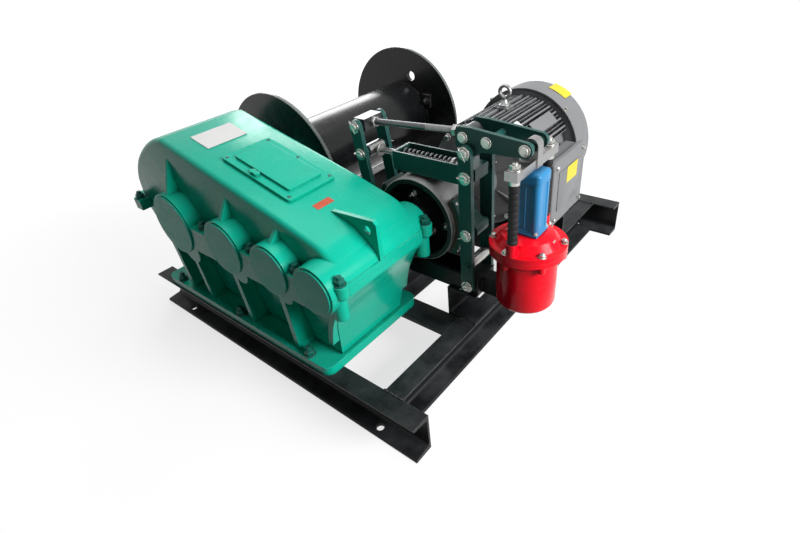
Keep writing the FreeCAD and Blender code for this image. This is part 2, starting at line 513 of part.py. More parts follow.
def build_motor():
    """Foot-mounted motor: finned body, end shield, fan cowl, terminal box, lifting eye."""
    y0, y1 = MOTOR_Y
    mx = INPUT_X
    pieces = [rod_y(mx, AXIS_Z, (y0, y1), MOTOR_CORE_R)]
    for index in range(FIN_COUNT):
        angle = 360.0 / FIN_COUNT * (index + 0.5)
        # the fins stop at the feet and at the terminal box
        if 62 < angle < 118 or 130 < angle < 230:
            continue
        fin = box((mx - 2.2, mx + 2.2), (y0 + 12, y1 - 6), (AXIS_Z + MOTOR_CORE_R - 6, AXIS_Z + MOTOR_FIN_R))
        fin.rotate(Vector(mx, 0, AXIS_Z), Y, angle)
        pieces.append(fin)
    foot_top = MOTOR_FOOT_Z + 14
    foot_y = (y0 + 16, y1 - 22)
    for side in (-1, 1):
        inner, outer = mx + side * MOTOR_FOOT_X[0], mx + side * MOTOR_FOOT_X[1]
        pieces.append(box((min(inner, outer), max(inner, outer)), foot_y, (MOTOR_FOOT_Z, foot_top)))
        points = [(inner, foot_top - 1), (outer - side * 24, foot_top - 1), (mx + side * 112, AXIS_Z - 40),
                  (mx + side * 60, AXIS_Z - MOTOR_CORE_R + 30), (mx + side * 60, AXIS_Z - MOTOR_CORE_R + 10)]
        for web_y in (foot_y[0] + 8, (y0 + y1) / 2 - 6, foot_y[1] - 20):
            pieces.append(plate_xz(points, (web_y, web_y + 12)))
    eye_y = y0 + MOTOR_LENGTH / 2 + 1
    pieces.append(box((mx - 17, mx + 17), (eye_y - 17, eye_y + 17),
                      (AXIS_Z + MOTOR_CORE_R - 10, AXIS_Z + MOTOR_FIN_R + 2)))
    pieces.append(box((mx + 90, mx + 136), (y0 + 46, y1 - 30), (AXIS_Z - 70, AXIS_Z + 32)))
    body = joined(pieces).cut(rod_y(mx, AXIS_Z, (y0 - 1, y1 + 1), MOTOR_CORE_R - 28))

    shield = turned_y(mx, AXIS_Z, [(y0 - 26, 20), (y0 - 26, 52), (y0 - 18, 60), (y0 - 10, 118),
                                   (y0 - 10, MOTOR_FIN_R - 6), (y0, MOTOR_FIN_R - 6), (y0, MOTOR_CORE_R - 29),
                                   (y0 - 4, 84), (y0 - 10, 20)])
    shield = shield.cut(rod_y(mx, AXIS_Z, (y0 - 40, y0 + 10), MOTOR_SHAFT_R + RUN))

    # fan cowl: a thin shell with a round shoulder, fixed to the body's rear shield
    c0, c1 = COWL_Y
    outer = [(c0, COWL_R), (c1 - 26, COWL_R - 2), (c1 - 12, COWL_R - 8), (c1 - 3, COWL_R - 20), (c1, COWL_R - 34),
             (c1, 1)]
    inner = [(c1 - 3, 1), (c1 - 3, COWL_R - 35), (c1 - 6, COWL_R - 22), (c1 - 14, COWL_R - 11),
             (c1 - 27, COWL_R - 5), (c0, COWL_R - 3)]
    back = [(y1, MOTOR_SHAFT_R + RUN), (y1, COWL_R - 3.2), (y1 + 10, COWL_R - 3.2), (y1 + 10, 60), (y1 + 18, 50),
            (y1 + 18, MOTOR_SHAFT_R + RUN)]
    cowl = joined([turned_y(mx, AXIS_Z, outer + inner), turned_y(mx, AXIS_Z, back)])

    bx = (mx + 136 + 0.2, mx + 172)
    box_y, box_z = (y0 + 40, y1 - 24), (AXIS_Z - 118, AXIS_Z + 44)
    terminal = rounded(box(bx, box_y, box_z), 14, along_x)
    lid = rounded(box((bx[1], bx[1] + 13), (box_y[0] - 6, box_y[1] + 6), (box_z[0] - 6, box_z[1] + 6)), 18, along_x)
    lid = rounded(lid, 4, lambda m, e: m.x > bx[1] + 12.5)
    terminal = joined([terminal, lid])

    eye_z = AXIS_Z + MOTOR_FIN_R + 2
    stem = rod_z(mx, eye_y, (eye_z + 0.2, eye_z + 16), 14)
    ring = Part.makeTorus(21, 6.5, Vector(mx, eye_y, eye_z + 39), Y)
    return {"motor_body": body, "motor_end_shield": shield, "fan_cowl": cowl,
            "terminal_box": terminal, "eye_bolt": joined([stem, ring])}


# ---------------------------------------------------------------- brake
def left_arm_x(z):
    """X of the left arm's centre line, which leans outwards, at a height."""
    share = (z - ARM_PIVOT_Z) / (TIE_Z[0] - ARM_PIVOT_Z)
    return INPUT_X - LEFT_ARM[0] - share * (LEFT_ARM[1] - LEFT_ARM[0])


def arm_pair(foot, top, pins, bossed):
    """Two arm plates and the pins through them; bossed pins are thick between the plates."""
    inside = ARM_HALF - ARM_T
    pieces = []
    for y in ((BRAKE_Y - ARM_HALF, BRAKE_Y - inside), (BRAKE_Y + inside, BRAKE_Y + ARM_HALF)):
        pieces.append(link_plate([foot, top], y, ARM_W, (PIVOT_PIN_R + RUN, 0)))
    for px, pz in pins + bossed:
        pieces.append(rod_y(px, pz, (BRAKE_Y - ARM_HALF - 7, BRAKE_Y + ARM_HALF + 7), ARM_PIN_R))
    for px, pz in bossed:
        pieces.append(rod_y(px, pz, (BRAKE_Y - inside, BRAKE_Y + inside), ARM_PIN_R + 3))
    return joined(pieces)


def brake_shoe(arm_x, side):
    """Lined segment of a ring with a lug on the arm's middle pin."""
    r0 = WHEEL_R + SHOE_GAP
    half = SHOE_W / 2
    y = (BRAKE_Y - half, BRAKE_Y + half)
    ring = rod_y(INPUT_X, AXIS_Z, y, r0 + LINING_T + 8)
    ring = ring.cut(rod_y(INPUT_X, AXIS_Z, (y[0] - 1, y[1] + 1), r0))
    reach = 1.5 * WHEEL_R
    wedge = plate_xz([(INPUT_X, AXIS_Z), (INPUT_X + side * reach, AXIS_Z - reach * 0.7),
                      (INPUT_X + side * reach, AXIS_Z + reach * 0.7)], (y[0] - 1, y[1] + 1))
    root_x = INPUT_X + side * (r0 + LINING_T)
    lug_y = (BRAKE_Y - 22, BRAKE_Y + 22)
    lug = plate_xz([(root_x, AXIS_Z - 34), (arm_x, AXIS_Z - 15), (arm_x, AXIS_Z + 15), (root_x, AXIS_Z + 34)], lug_y)
    lug = lug.cut(rod_y(INPUT_X, AXIS_Z, (y[0] - 1, y[1] + 1), r0 + LINING_T))
    solid = joined([ring.common(wedge), lug, rod_y(arm_x, AXIS_Z, lug_y, 15)])
    return solid.cut(rod_y(arm_x, AXIS_Z, (y[0] - 1, y[1] + 1), ARM_PIN_R))


def build_brake():
    """Drum brake: base bar, two arms with shoes, tie rod, spring and lever."""
    yb = BRAKE_Y
    right_x = RIGHT_ARM_X
    inside = ARM_HALF - ARM_T
    through = (yb - ARM_HALF - 20, yb + ARM_HALF + 20)
    pivots = (left_arm_x(ARM_PIVOT_Z), right_x)

    # base bar with the two pivot pins and the bracket that holds the thruster
    bar = box((pivots[0] - 38, right_x + 22), (yb - inside + 1, yb + inside - 1), BASE_BAR_Z)
    bar = bar.cut(box((pivots[0] + 32, right_x - 32), (yb - inside + 9, yb + inside - 9),
                      (BASE_BAR_Z[0] + 8, BASE_BAR_Z[1] + 1)))
    pins = [rod_y(px, ARM_PIVOT_Z, (yb - ARM_HALF - 8, yb + ARM_HALF + 8), PIVOT_PIN_R) for px in pivots]
    tongue = box((right_x + 18, THRUSTER_X - TANK_R + 20), (yb - 16, yb + 16), (BASE_BAR_Z[0], BASE_BAR_Z[1]))
    tongue = tongue.cut(rod_z(THRUSTER_X, yb, (0, BIG), TANK_R + GAP))
    base = joined([bar, tongue] + pins)

    # arms: the shoe's, spring's and top pins are in other pieces' bores, the lowest ties the plates
    left_top = (left_arm_x(TIE_Z[0]), TIE_Z[0])
    tie_z = ARM_PIVOT_Z + 53
    right_arm = arm_pair((right_x, ARM_PIVOT_Z), (right_x, FULCRUM_Z),
                         [(right_x, z) for z in (AXIS_Z, SPRING_Z, FULCRUM_Z)], [(right_x, tie_z)])
    left_arm = arm_pair((pivots[0], ARM_PIVOT_Z), left_top,
                        [(left_arm_x(z), z) for z in (AXIS_Z, SPRING_Z, TIE_Z[0])], [(left_arm_x(tie_z), tie_z)])

    # tie rod: block on the left arm's top pin, threaded rod, eye on the lever's pin
    (x0, z0), (x1, z1) = left_top, (right_x - TIE_BACK, TIE_Z[1])
    slope = math.atan2(z1 - z0, x1 - x0)
    block = box((x0 - 15, x0 + 17), (yb - inside + 6, yb + inside - 6), (z0 - 14, z0 + 14))
    stick = Part.makeCylinder(7, math.hypot(x1 - x0, z1 - z0) - 22, Vector(x0 + 10, yb, z0 + 0.6),
                              Vector(math.cos(slope), 0, math.sin(slope)))
    tie = joined([block, stick, rod_y(x1, z1, (yb - 14, yb + 14), 17)])
    tie = tie.cut(rod_y(x0, z0, through, ARM_PIN_R + RUN))
    tie = tie.cut(rod_y(x1, z1, through, ARM_PIN_R + EYE_PLAY))

    # spring housing: an open-topped trough on the right arm's upper pin
    length, width, height = TROUGH
    h = (right_x - 24 - length, right_x - 24)
    trough = box(h, (yb - width / 2, yb + width / 2), (SPRING_Z - height / 2 - 4, SPRING_Z + height / 2 - 4))
    trough = trough.cut(box((h[0] + 6, h[1] - 6), (yb - width / 2 + 4, yb + width / 2 - 4),
                            (SPRING_Z - height / 2, SPRING_Z + height)))
    yoke = box((h[1] - 1, right_x + 12), (yb - 24, yb + 24), (SPRING_Z - 13, SPRING_Z + 13))
    trough = joined([trough, yoke]).cut(rod_y(right_x, SPRING_Z, through, ARM_PIN_R))
    trough = trough.cut(rod_x((h[0] - 1, h[0] + 7), yb, SPRING_Z, 8.5))

    # pull rod from the left arm through the trough's end, with the collar the spring bears on
    rod_left = left_arm_x(SPRING_Z)
    collar_x = h[1] - 32
    pull = joined([rod_x((rod_left + 10, collar_x + 8), yb, SPRING_Z, 6.5),
                   rod_x((collar_x, collar_x + 6), yb, SPRING_Z, 16.5),
                   rod_y(rod_left, SPRING_Z, (yb - 24, yb + 24), 14)])
    pull = pull.cut(rod_y(rod_left, SPRING_Z, through, ARM_PIN_R))
    spring = coil(h[0] + 6 + 0.2, collar_x - 0.2, yb, SPRING_Z, 13.0, 2.6, 11)

    return {"brake_base": base, "right_arm": right_arm, "left_arm": left_arm,
            "brake_shoe_right": brake_shoe(right_x, 1), "brake_shoe_left": brake_shoe(left_arm_x(AXIS_Z), -1),
            "tie_rod": tie, "spring_housing": trough, "spring_rod": pull, "brake_spring": spring,
            "lever": build_lever()}


def build_lever():
    """Release lever: two plates on the right arm's top pin, pins for tie rod and crosshead."""
    x, z = RIGHT_ARM_X, FULCRUM_Z
    half = ARM_HALF - ARM_T - 2
    tie_x, tie_z = x - TIE_BACK, TIE_Z[1]
    corners = [(x - 26, z + 7), (x - 26, tie_z + 14), (x - 18, tie_z + 21), (x + 10, tie_z + 21),
               (THRUSTER_X, LEVER_PIN_Z + 15), (THRUSTER_X, LEVER_PIN_Z - 15), (x + 34, z + 4), (x + 12, z - 10),
               (x - 12, z - 8)]
    pieces = []
    for y in ((BRAKE_Y - half, BRAKE_Y - half + 8), (BRAKE_Y + half - 8, BRAKE_Y + half)):
        pieces += [plate_xz(corners, y), rod_y(x, z, y, 16), rod_y(THRUSTER_X, LEVER_PIN_Z, y, 15)]
    for px, pz in ((tie_x, tie_z), (x + 42, (tie_z + LEVER_PIN_Z) / 2), (THRUSTER_X, LEVER_PIN_Z)):
        pieces.append(rod_y(px, pz, (BRAKE_Y - half - 4, BRAKE_Y + half + 4), ARM_PIN_R))
    bore = rod_y(x, z, (BRAKE_Y - ARM_HALF, BRAKE_Y + ARM_HALF), ARM_PIN_R + RUN)
    return joined(pieces).cut(bore)


def coil(x0, x1, y, z, radius, wire_r, turns):
    """Helical spring along X between x0 and x1."""
    length = x1 - x0 - 2 * wire_r
    helix = Part.makeHelix(length / turns, length, radius)
    ring = Part.Wire([Part.makeCircle(wire_r, Vector(radius, 0, 0), Vector(0, 1, 0))])
    solid = Part.Wire(helix.Edges).makePipeShell([ring], True, True)
    solid.rotate(Vector(0, 0, 0), Y, 90)
    solid.translate(Vector(x0 + wire_r, y, z))
    return solid


# ---------------------------------------------------------------- thruster
def build_thruster():
    """Electro-hydraulic thruster: tank, lid, motor on top and the crosshead it lifts."""
    tx, ty = THRUSTER_X, BRAKE_Y
    z0, z1 = TANK_Z
    tank = turned_z(tx, ty, [(0.0, z0), (TANK_R - 16, z0), (TANK_R - 5, z0 + 5), (TANK_R, z0 + 18), (TANK_R, z1 - 10),
                             (LID_R, z1 - 10), (LID_R, z1), (TANK_R - 8, z1), (TANK_R - 8, z0 + 12), (0.0, z0 + 12)])
    top = z1 + 12
    lid = turned_z(tx, ty, [(0.0, z1), (LID_R, z1), (LID_R, top), (LID_R - 12, top), (LID_R - 26, top + 16),
                            (36, top + 22), (0.0, top + 22)])
    sockets = [rod_z(tx, ty + side * ROD_SPACING / 2, (top - 2, top + 26), SOCKET_R) for side in (-1, 1)]
    lid = joined([lid] + sockets)
    for side in (-1, 1):
        lid = lid.cut(rod_z(tx, ty + side * ROD_SPACING / 2, (top - 6, top + 30), PUSH_ROD_R + RUN))
    m0 = top + 22
    hx, hy, height = BLUE_MOTOR[0] / 2, BLUE_MOTOR[1] / 2, BLUE_MOTOR[2]
    motor = rounded(box((tx - hx, tx + hx), (ty - hy, ty + hy), (m0 + 0.2, m0 + height)), 6, upright)
    cap = rounded(box((tx - hx + 4, tx + hx - 4), (ty - hy + 4, ty + hy - 4), (m0 + height, m0 + height + 10)), 5,
                  upright)
    motor = joined([motor, cap])

    # crosshead: two push rods and the bar with the slotted eye for the lever's pin
    bar_z = (LEVER_PIN_Z - 40, LEVER_PIN_Z - 22)
    half = ROD_SPACING / 2
    rods = [rod_z(tx, ty + side * half, (top + 2, bar_z[1] + 8), PUSH_ROD_R) for side in (-1, 1)]
    bar = box((tx - 13, tx + 13), (ty - half - 14, ty + half + 14), bar_z)
    eye = box((tx - 15, tx + 15), (ty - 10, ty + 10), (bar_z[0], LEVER_PIN_Z))
    eye = joined([eye, rod_y(tx, LEVER_PIN_Z, (ty - 10, ty + 10), 15)])
    slot_r = ARM_PIN_R + 2 * GAP
    slot = joined([rod_y(tx - SLOT_PLAY, LEVER_PIN_Z, (ty - 20, ty + 20), slot_r),
                   rod_y(tx + SLOT_PLAY, LEVER_PIN_Z, (ty - 20, ty + 20), slot_r),
                   box((tx - SLOT_PLAY, tx + SLOT_PLAY), (ty - 20, ty + 20),
                       (LEVER_PIN_Z - slot_r, LEVER_PIN_Z + slot_r))])
    crosshead = joined([bar, eye] + rods).cut(slot)
    return {"thruster_tank": tank, "thruster_lid": lid, "thruster_motor": motor, "crosshead": crosshead}


# ---------------------------------------------------------------- save
def main():
    """Build every node and write it to parts/."""
    nodes = {}
    for build in (build_frame, build_pedestal, build_gear_case, build_drum, build_input_line,
                  build_motor, build_brake, build_thruster):
        nodes.update(build())
    for name, shape in nodes.items():
        bounds = shape.BoundBox
        corners = (bounds.XMin, bounds.XMax, bounds.YMin, bounds.YMax, bounds.ZMin, bounds.ZMax)
        print(name, shape.isValid(), len(shape.Solids), [round(v, 1) for v in corners])
        shape.exportStep("parts/%s.step" % name)


main()
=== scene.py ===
"""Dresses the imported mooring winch: finishes for every CAD node, and the small parts the solids leave out.

The frame is +Z up with the floor at z = 0. X runs along the gear case towards the thruster,
Y runs along the drum and the motor. Lengths are metres, and those of fasteners and turned parts millimetres.
"""

import json
import logging
import math
from dataclasses import dataclass, field
from enum import Enum
from typing import Callable, Sequence

import bmesh
import bpy
from mathutils import Matrix, Vector


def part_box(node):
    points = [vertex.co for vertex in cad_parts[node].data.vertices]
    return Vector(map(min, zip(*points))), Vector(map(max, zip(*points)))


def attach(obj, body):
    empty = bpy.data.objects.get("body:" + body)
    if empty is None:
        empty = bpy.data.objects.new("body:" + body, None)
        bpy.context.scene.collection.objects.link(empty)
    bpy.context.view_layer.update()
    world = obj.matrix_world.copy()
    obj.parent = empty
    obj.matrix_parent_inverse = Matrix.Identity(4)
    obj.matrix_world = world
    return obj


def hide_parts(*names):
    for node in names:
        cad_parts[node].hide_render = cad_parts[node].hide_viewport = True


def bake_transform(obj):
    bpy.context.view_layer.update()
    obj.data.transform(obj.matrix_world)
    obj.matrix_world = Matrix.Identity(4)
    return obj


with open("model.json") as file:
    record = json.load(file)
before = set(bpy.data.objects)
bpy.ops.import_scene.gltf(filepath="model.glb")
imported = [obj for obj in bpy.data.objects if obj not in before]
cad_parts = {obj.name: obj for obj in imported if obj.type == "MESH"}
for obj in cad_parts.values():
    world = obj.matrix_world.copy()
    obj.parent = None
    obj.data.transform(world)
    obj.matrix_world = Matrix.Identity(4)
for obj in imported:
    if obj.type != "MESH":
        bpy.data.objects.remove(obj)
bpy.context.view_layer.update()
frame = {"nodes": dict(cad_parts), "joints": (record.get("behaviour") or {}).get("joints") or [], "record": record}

LOG = logging.getLogger("winch")
MM = 0.001
Colour = tuple[float, float, float]
Points = Sequence[tuple[float, float]]
Shape = bpy.types.Object
Socket = bpy.types.NodeSocket
Tree = bpy.types.NodeTree
X_AXIS, Y_AXIS, Z_AXIS = Vector((1, 0, 0)), Vector((0, 1, 0)), Vector((0, 0, 1))
UNIT_TURN = 2.399       # radians by which each fastener is turned more than the one before


# ------------------------------------------------------------------ shader node sheets
class Sheet:
    """Places and links the nodes of one node tree."""

    def __init__(self, tree: Tree) -> None:
        """Start on a tree, which may already hold nodes."""
        self.tree = tree

    def feed(self, node: bpy.types.Node, inputs: dict) -> bpy.types.Node:
        """Give a node's inputs, by name or index, their values or the sockets that feed them."""
        for key, value in inputs.items():
            if isinstance(value, Socket):
                self.tree.links.new(value, node.inputs[key])
            else:
                node.inputs[key].default_value = value
        return node

    def node(self, kind: str, inputs: dict | None = None, **settings: object) -> bpy.types.Node:
        """Add a node.

        Args:
            kind: the node's type name.
            inputs: socket name or index to a value, or to the socket that feeds it.
            settings: the node's own properties.
        Returns:
            The new node.
        """
        node = self.tree.nodes.new(kind)
        for key, value in settings.items():
            setattr(node, key, value)
        return self.feed(node, inputs or {})

    def use(self, group: Tree, inputs: dict) -> bpy.types.Node:
        """Place a shared effect with its own values."""
        return self.node("ShaderNodeGroup", inputs, node_tree=group)

    def maths(self, operation: str, *values: object) -> Socket:
        """Return the result of a maths node on the values."""
        return self.node("ShaderNodeMath", dict(enumerate(values)), operation=operation).outputs[0]

    def vector(self, operation: str, inputs: dict, output: str = "Vector") -> Socket:
        """Return the result of a vector maths node."""
        return self.node("ShaderNodeVectorMath", inputs, operation=operation).outputs[output]

    def ramp(self, value: Socket, low: float, high: float, to: tuple = (0.0, 1.0)) -> Socket:
        """Map value from low..high to the range to, clamped."""
        inputs = {"Value": value, "From Min": low, "From Max": high, "To Min": to[0], "To Max": to[1]}
        return self.node("ShaderNodeMapRange", inputs).outputs[0]

    def blend(self, factor: object, first: object, second: object) -> Socket:
        """Return a colour between first and second."""
        first, second = (c if isinstance(c, Socket) else (*c, 1.0) for c in (first, second))
        return self.node("ShaderNodeMix", {0: factor, 6: first, 7: second}, data_type="RGBA").outputs[2]

    def place(self) -> Socket:
        """Return the object coordinates."""
        return self.node("ShaderNodeTexCoord").outputs["Object"]

    def facing(self) -> Socket:
        """Return the surface's own normal."""
        return self.node("ShaderNodeNewGeometry").outputs["Normal"]

    def noise(self, scale: object, vector: object = None, detail: float = 4.0, rough: float = 0.55) -> Socket:
        """Return a noise value on object coordinates, or on the vector given."""
        inputs = {"Vector": vector or self.place(), "Scale": scale, "Detail": detail, "Roughness": rough}
        return self.node("ShaderNodeTexNoise", inputs).outputs[0]

    def bump(self, distance: object, height: object, normal: object) -> Socket:
        """Return the normal of a relief."""
        return self.node("ShaderNodeBump", {"Distance": distance, "Height": height, "Normal": normal}).outputs[0]


FLOAT, VECTOR = "NodeSocketFloat", "NodeSocketVector"


def open_group(name: str, inputs: Sequence[tuple], outputs: Sequence[tuple]) -> tuple:
    """Start a shader node group.

    Args:
        name: the group's name.
        inputs: (name, socket type, default value) of each input.
        outputs: (name, socket type) of each output.
    Returns:
        The group, its sheet, its input sockets and its output node.
    """
    group = bpy.data.node_groups.new(name, "ShaderNodeTree")
    for label, kind, value in inputs:
        group.interface.new_socket(name=label, in_out="INPUT", socket_type=kind).default_value = value
    for label, kind in outputs:
        group.interface.new_socket(name=label, in_out="OUTPUT", socket_type=kind)
    sheet = Sheet(group)
    return group, sheet, sheet.node("NodeGroupInput").outputs, sheet.node("NodeGroupOutput")


class Effects:
    """The shader effects that several finishes share, each one a node group."""

    def __init__(self) -> None:
        """Build every group once."""
        self.edges = self._edges()
        self.corners = self._corners()
        self.drift = self._drift()
        self.skin = self._skin()
        self.dust_and_top_light = self._dust_and_top_light_mask()
        self.turning = self._turning()

    @staticmethod
    def _edges() -> Tree:
        """Rounded normals at sharp edges, and a broken mask along them, for worn paint and for a painted highlight on
        the edges.
        """
        group, sheet, given, out = open_group(
            "edge_wear_and_highlight", [("Width", FLOAT, 0.002), ("Amount", FLOAT, 0.5), ("Patch Scale", FLOAT, 40.0)],
            [("Mask", FLOAT), ("Normal", VECTOR)])
        bevel = sheet.node("ShaderNodeBevel", {"Radius": given["Width"]}, samples=4).outputs[0]
        sharp = sheet.ramp(sheet.vector("DOT_PRODUCT", {0: bevel, 1: sheet.facing()}, "Value"), 0.985, 0.86)
        patch = sheet.ramp(sheet.noise(given["Patch Scale"]), 0.35, 0.62)
        mask = sheet.maths("MULTIPLY", sheet.maths("MULTIPLY", sharp, patch), given["Amount"])
        sheet.feed(out, {"Mask": mask, "Normal": bevel})
        return group

    @staticmethod
    def _corners() -> Tree:
        """Mask of painted shade in inner corners and between parts, from ambient occlusion."""
        group, sheet, given, out = open_group(
            "painted_corner_shade", [("Reach", FLOAT, 0.02), ("Amount", FLOAT, 0.5)], [("Mask", FLOAT)])
        open_sky = sheet.node("ShaderNodeAmbientOcclusion", {"Distance": given["Reach"]}, samples=4).outputs["AO"]
        patch = sheet.ramp(sheet.noise(28.0), 0.3, 0.6, (0.45, 1.0))
        mask = sheet.maths("MULTIPLY", sheet.ramp(open_sky, 0.75, 0.25), patch)
        sheet.feed(out, {"Mask": sheet.maths("MULTIPLY", mask, given["Amount"])})
        return group

    @staticmethod
    def _drift() -> Tree:
        """Slow change of tone over a surface, about 1."""
        group, sheet, given, out = open_group(
            "tone_drift", [("Scale", FLOAT, 6.0), ("Amount", FLOAT, 0.15)], [("Factor", FLOAT)])
        value = sheet.maths("SUBTRACT", sheet.noise(given["Scale"], detail=6.0), 0.5)
        sheet.feed(out, {"Factor": sheet.maths("MULTIPLY_ADD", value, given["Amount"], 1.0)})
        return group

    @staticmethod
    def _skin() -> Tree:
        """Fine relief of sprayed paint over a cast or rolled face."""
        group, sheet, given, out = open_group(
            "surface_skin", [("Scale", FLOAT, 160.0), ("Height", FLOAT, 0.0002), ("Normal", VECTOR, (0, 0, 1))],
            [("Normal", VECTOR)])
        fine = sheet.noise(given["Scale"], detail=2.0)
        broad = sheet.noise(sheet.maths("MULTIPLY", given["Scale"], 0.16), detail=2.0)
        height = sheet.maths("ADD", sheet.maths("MULTIPLY", fine, 0.4), sheet.maths("MULTIPLY", broad, 1.4))
        sheet.feed(out, {"Normal": sheet.bump(given["Height"], height, given["Normal"])})
        return group

    @staticmethod
    def _dust_and_top_light_mask() -> Tree:
        """Mask of dust on faces that look up, which also serves as painted light on those tops."""
        group, sheet, given, out = open_group("dust_and_painted_top_light", [("Amount", FLOAT, 0.3)], [("Mask", FLOAT)])
        up = sheet.ramp(sheet.node("ShaderNodeSeparateXYZ", {0: sheet.facing()}).outputs[2], 0.55, 1.0)
        patch = sheet.ramp(sheet.noise(11.0, detail=8.0, rough=0.65), 0.38, 0.72)
        mask = sheet.maths("MULTIPLY", sheet.maths("MULTIPLY", up, patch), given["Amount"])
        sheet.feed(out, {"Mask": mask})
        return group

    @staticmethod
    def _turning() -> Tree:
        """Fine marks drawn out along the two small directions of Stretch."""
        group, sheet, given, out = open_group(
            "tool_marks", [("Stretch", VECTOR, (8.0, 900.0, 8.0)), ("Height", FLOAT, 0.00004),
                           ("Normal", VECTOR, (0, 0, 1))], [("Mask", FLOAT), ("Normal", VECTOR)])
        drawn = sheet.vector("MULTIPLY", {0: sheet.place(), 1: given["Stretch"]})
        value = sheet.noise(1.0, drawn, detail=3.0)
        sheet.feed(out, {"Mask": value, "Normal": sheet.bump(given["Height"], value, given["Normal"])})
        return group


EFFECTS = Effects()


def open_material(name: str) -> tuple[bpy.types.Material, Sheet, bpy.types.Node]:
    """Return a new material, its sheet and its Principled shader."""
    material = bpy.data.materials.new(name)
    material.use_nodes = True
    sheet = Sheet(material.node_tree)
    return material, sheet, material.node_tree.nodes["Principled BSDF"]


# ------------------------------------------------------------------ finishes
class Finish(Enum):
    """The finishes by the names that the builders use."""

    FRAME = "frame_black"
    CASE = "gear_green"
    CAP = "cap_green"
    DRUM = "drum_black"
    STEEL = "bare_steel"
    WHEEL = "wheel_iron"
    MOTOR = "motor_grey"
    BRAKE = "brake_green"
    TANK = "thruster_red"
    BLUE = "thruster_blue"
    ZINC = "zinc_fasteners"
    DARK_BOLT = "dark_fasteners"
    CASE_BOLT = "painted_fasteners"
    RUBBER = "black_rubber"
    PLATE = "blank_plate"
    RED_PLATE = "red_blank_plate"
    YELLOW = "yellow_blank_plate"
    WELD = "painted_weld"
    SHIELD = "cast_shield"
    GRILLE = "dark_grille"
    LINING = "brake_lining"
    SPRING = "oiled_spring"


@dataclass(frozen=True)
class Paint:
    """Sprayed paint on steel or cast iron, with worn edges that also carry a painted highlight, painted shade in inner
    corners, and dust that is also painted light on faces that look up.

    radial is (x, z, radius, colour, roughness): beyond that radius from a Y axis the surface takes that colour and
    roughness, or inside it where the radius is negative. The band is bare turned steel on the brake wheel, the lining
    on the shoes, and a painted highlight on the drum's flange rims.
    """

    finish: Finish
    colour: Colour
    roughness: float = 0.35
    coat: float = 0.25
    # edge colour: worn paint, and a painted highlight where it is a lighter tint of the paint
    edge_colour: Colour = (0.35, 0.35, 0.34)
    edge: float = 0.35
    edge_width: float = 0.0016
    # painted shade: a darker colour in inner corners and between parts, by ambient occlusion
    corner_shade: float = 0.55
    corner_shade_colour: Colour = (0.02, 0.018, 0.015)
    # dust on faces that look up, also painted top light where its colour is a lighter tint of the paint
    dust_and_top_light: float = 0.12
    dust_and_top_light_colour: Colour = (0.42, 0.40, 0.36)
    skin: float = 0.00025
    skin_scale: float = 150.0
    drift: float = 0.25
    radial: tuple = ()
    specular: float = 0.22

    def material(self) -> bpy.types.Material:
        """Build the finish as a material."""
        material, sheet, shader = open_material(self.finish.value)
        drift = sheet.use(EFFECTS.drift, {"Scale": 7.0, "Amount": self.drift}).outputs[0]
        colour = sheet.vector("SCALE", {0: self.colour, "Scale": drift})
        rough = sheet.ramp(sheet.noise(34.0, detail=5.0), 0.3, 0.7, (self.roughness * 0.82, self.roughness * 1.22))
        if self.radial:
            colour, rough = self._radial_band(sheet, colour, rough)
        # Edge colour: worn paint, and a painted highlight where the colour is a lighter tint of the paint.
        edges = sheet.use(EFFECTS.edges, {"Width": self.edge_width, "Amount": self.edge})
        # Painted shade: the corner colour darkens inner corners and the joints between parts.
        corner_shade = sheet.use(EFFECTS.corners, {"Reach": 0.022, "Amount": self.corner_shade}).outputs[0]
        # Dust on faces that look up; where its colour is a lighter tint of the paint it is painted light on the tops.
        dust_and_top_light = sheet.use(EFFECTS.dust_and_top_light, {"Amount": self.dust_and_top_light}).outputs[0]
        for mask, over in ((edges.outputs["Mask"], self.edge_colour), (corner_shade, self.corner_shade_colour),
                           (dust_and_top_light, self.dust_and_top_light_colour)):
            colour = sheet.blend(mask, colour, over)
        for mask, duller in ((corner_shade, 0.35), (dust_and_top_light, 0.5)):
            rough = sheet.maths("ADD", rough, sheet.maths("MULTIPLY", mask, duller))
        normal = sheet.use(EFFECTS.skin, {"Scale": self.skin_scale, "Height": self.skin,
                                          "Normal": edges.outputs["Normal"]}).outputs[0]
        sheet.feed(shader, {"Base Color": colour, "Roughness": rough, "Normal": normal,
                            "Specular IOR Level": self.specular, "Coat Weight": self.coat,
                            "Coat Roughness": 0.12, "Coat IOR": 1.3})
        return material

    def _radial_band(self, sheet: Sheet, colour: object, rough: object) -> tuple:
        """Swap the paint for another colour and roughness beyond, or inside, a radius from a Y axis; on the drum's
        flange rims this is a painted highlight.
        """
        x, z, radius, band_colour, band_rough = self.radial
        flat = sheet.vector("MULTIPLY", {0: sheet.place(), 1: (1.0, 0.0, 1.0)})
        away = sheet.vector("DISTANCE", {0: flat, 1: (x, 0.0, z)}, "Value")
        bounds = (radius - 0.0004, radius + 0.0004) if radius > 0 else (-radius + 0.0004, -radius - 0.0004)
        mask = sheet.ramp(away, *bounds)
        marks = sheet.use(EFFECTS.turning, {"Stretch": (12.0, 1400.0, 12.0)}).outputs["Mask"]
        band_tone = sheet.vector("SCALE", {0: band_colour, "Scale": sheet.ramp(marks, 0.2, 0.8, (0.75, 1.2))})
        rough = sheet.node("ShaderNodeMix", {0: mask, 2: rough, 3: band_rough}).outputs[0]
        return sheet.blend(mask, colour, band_tone), rough


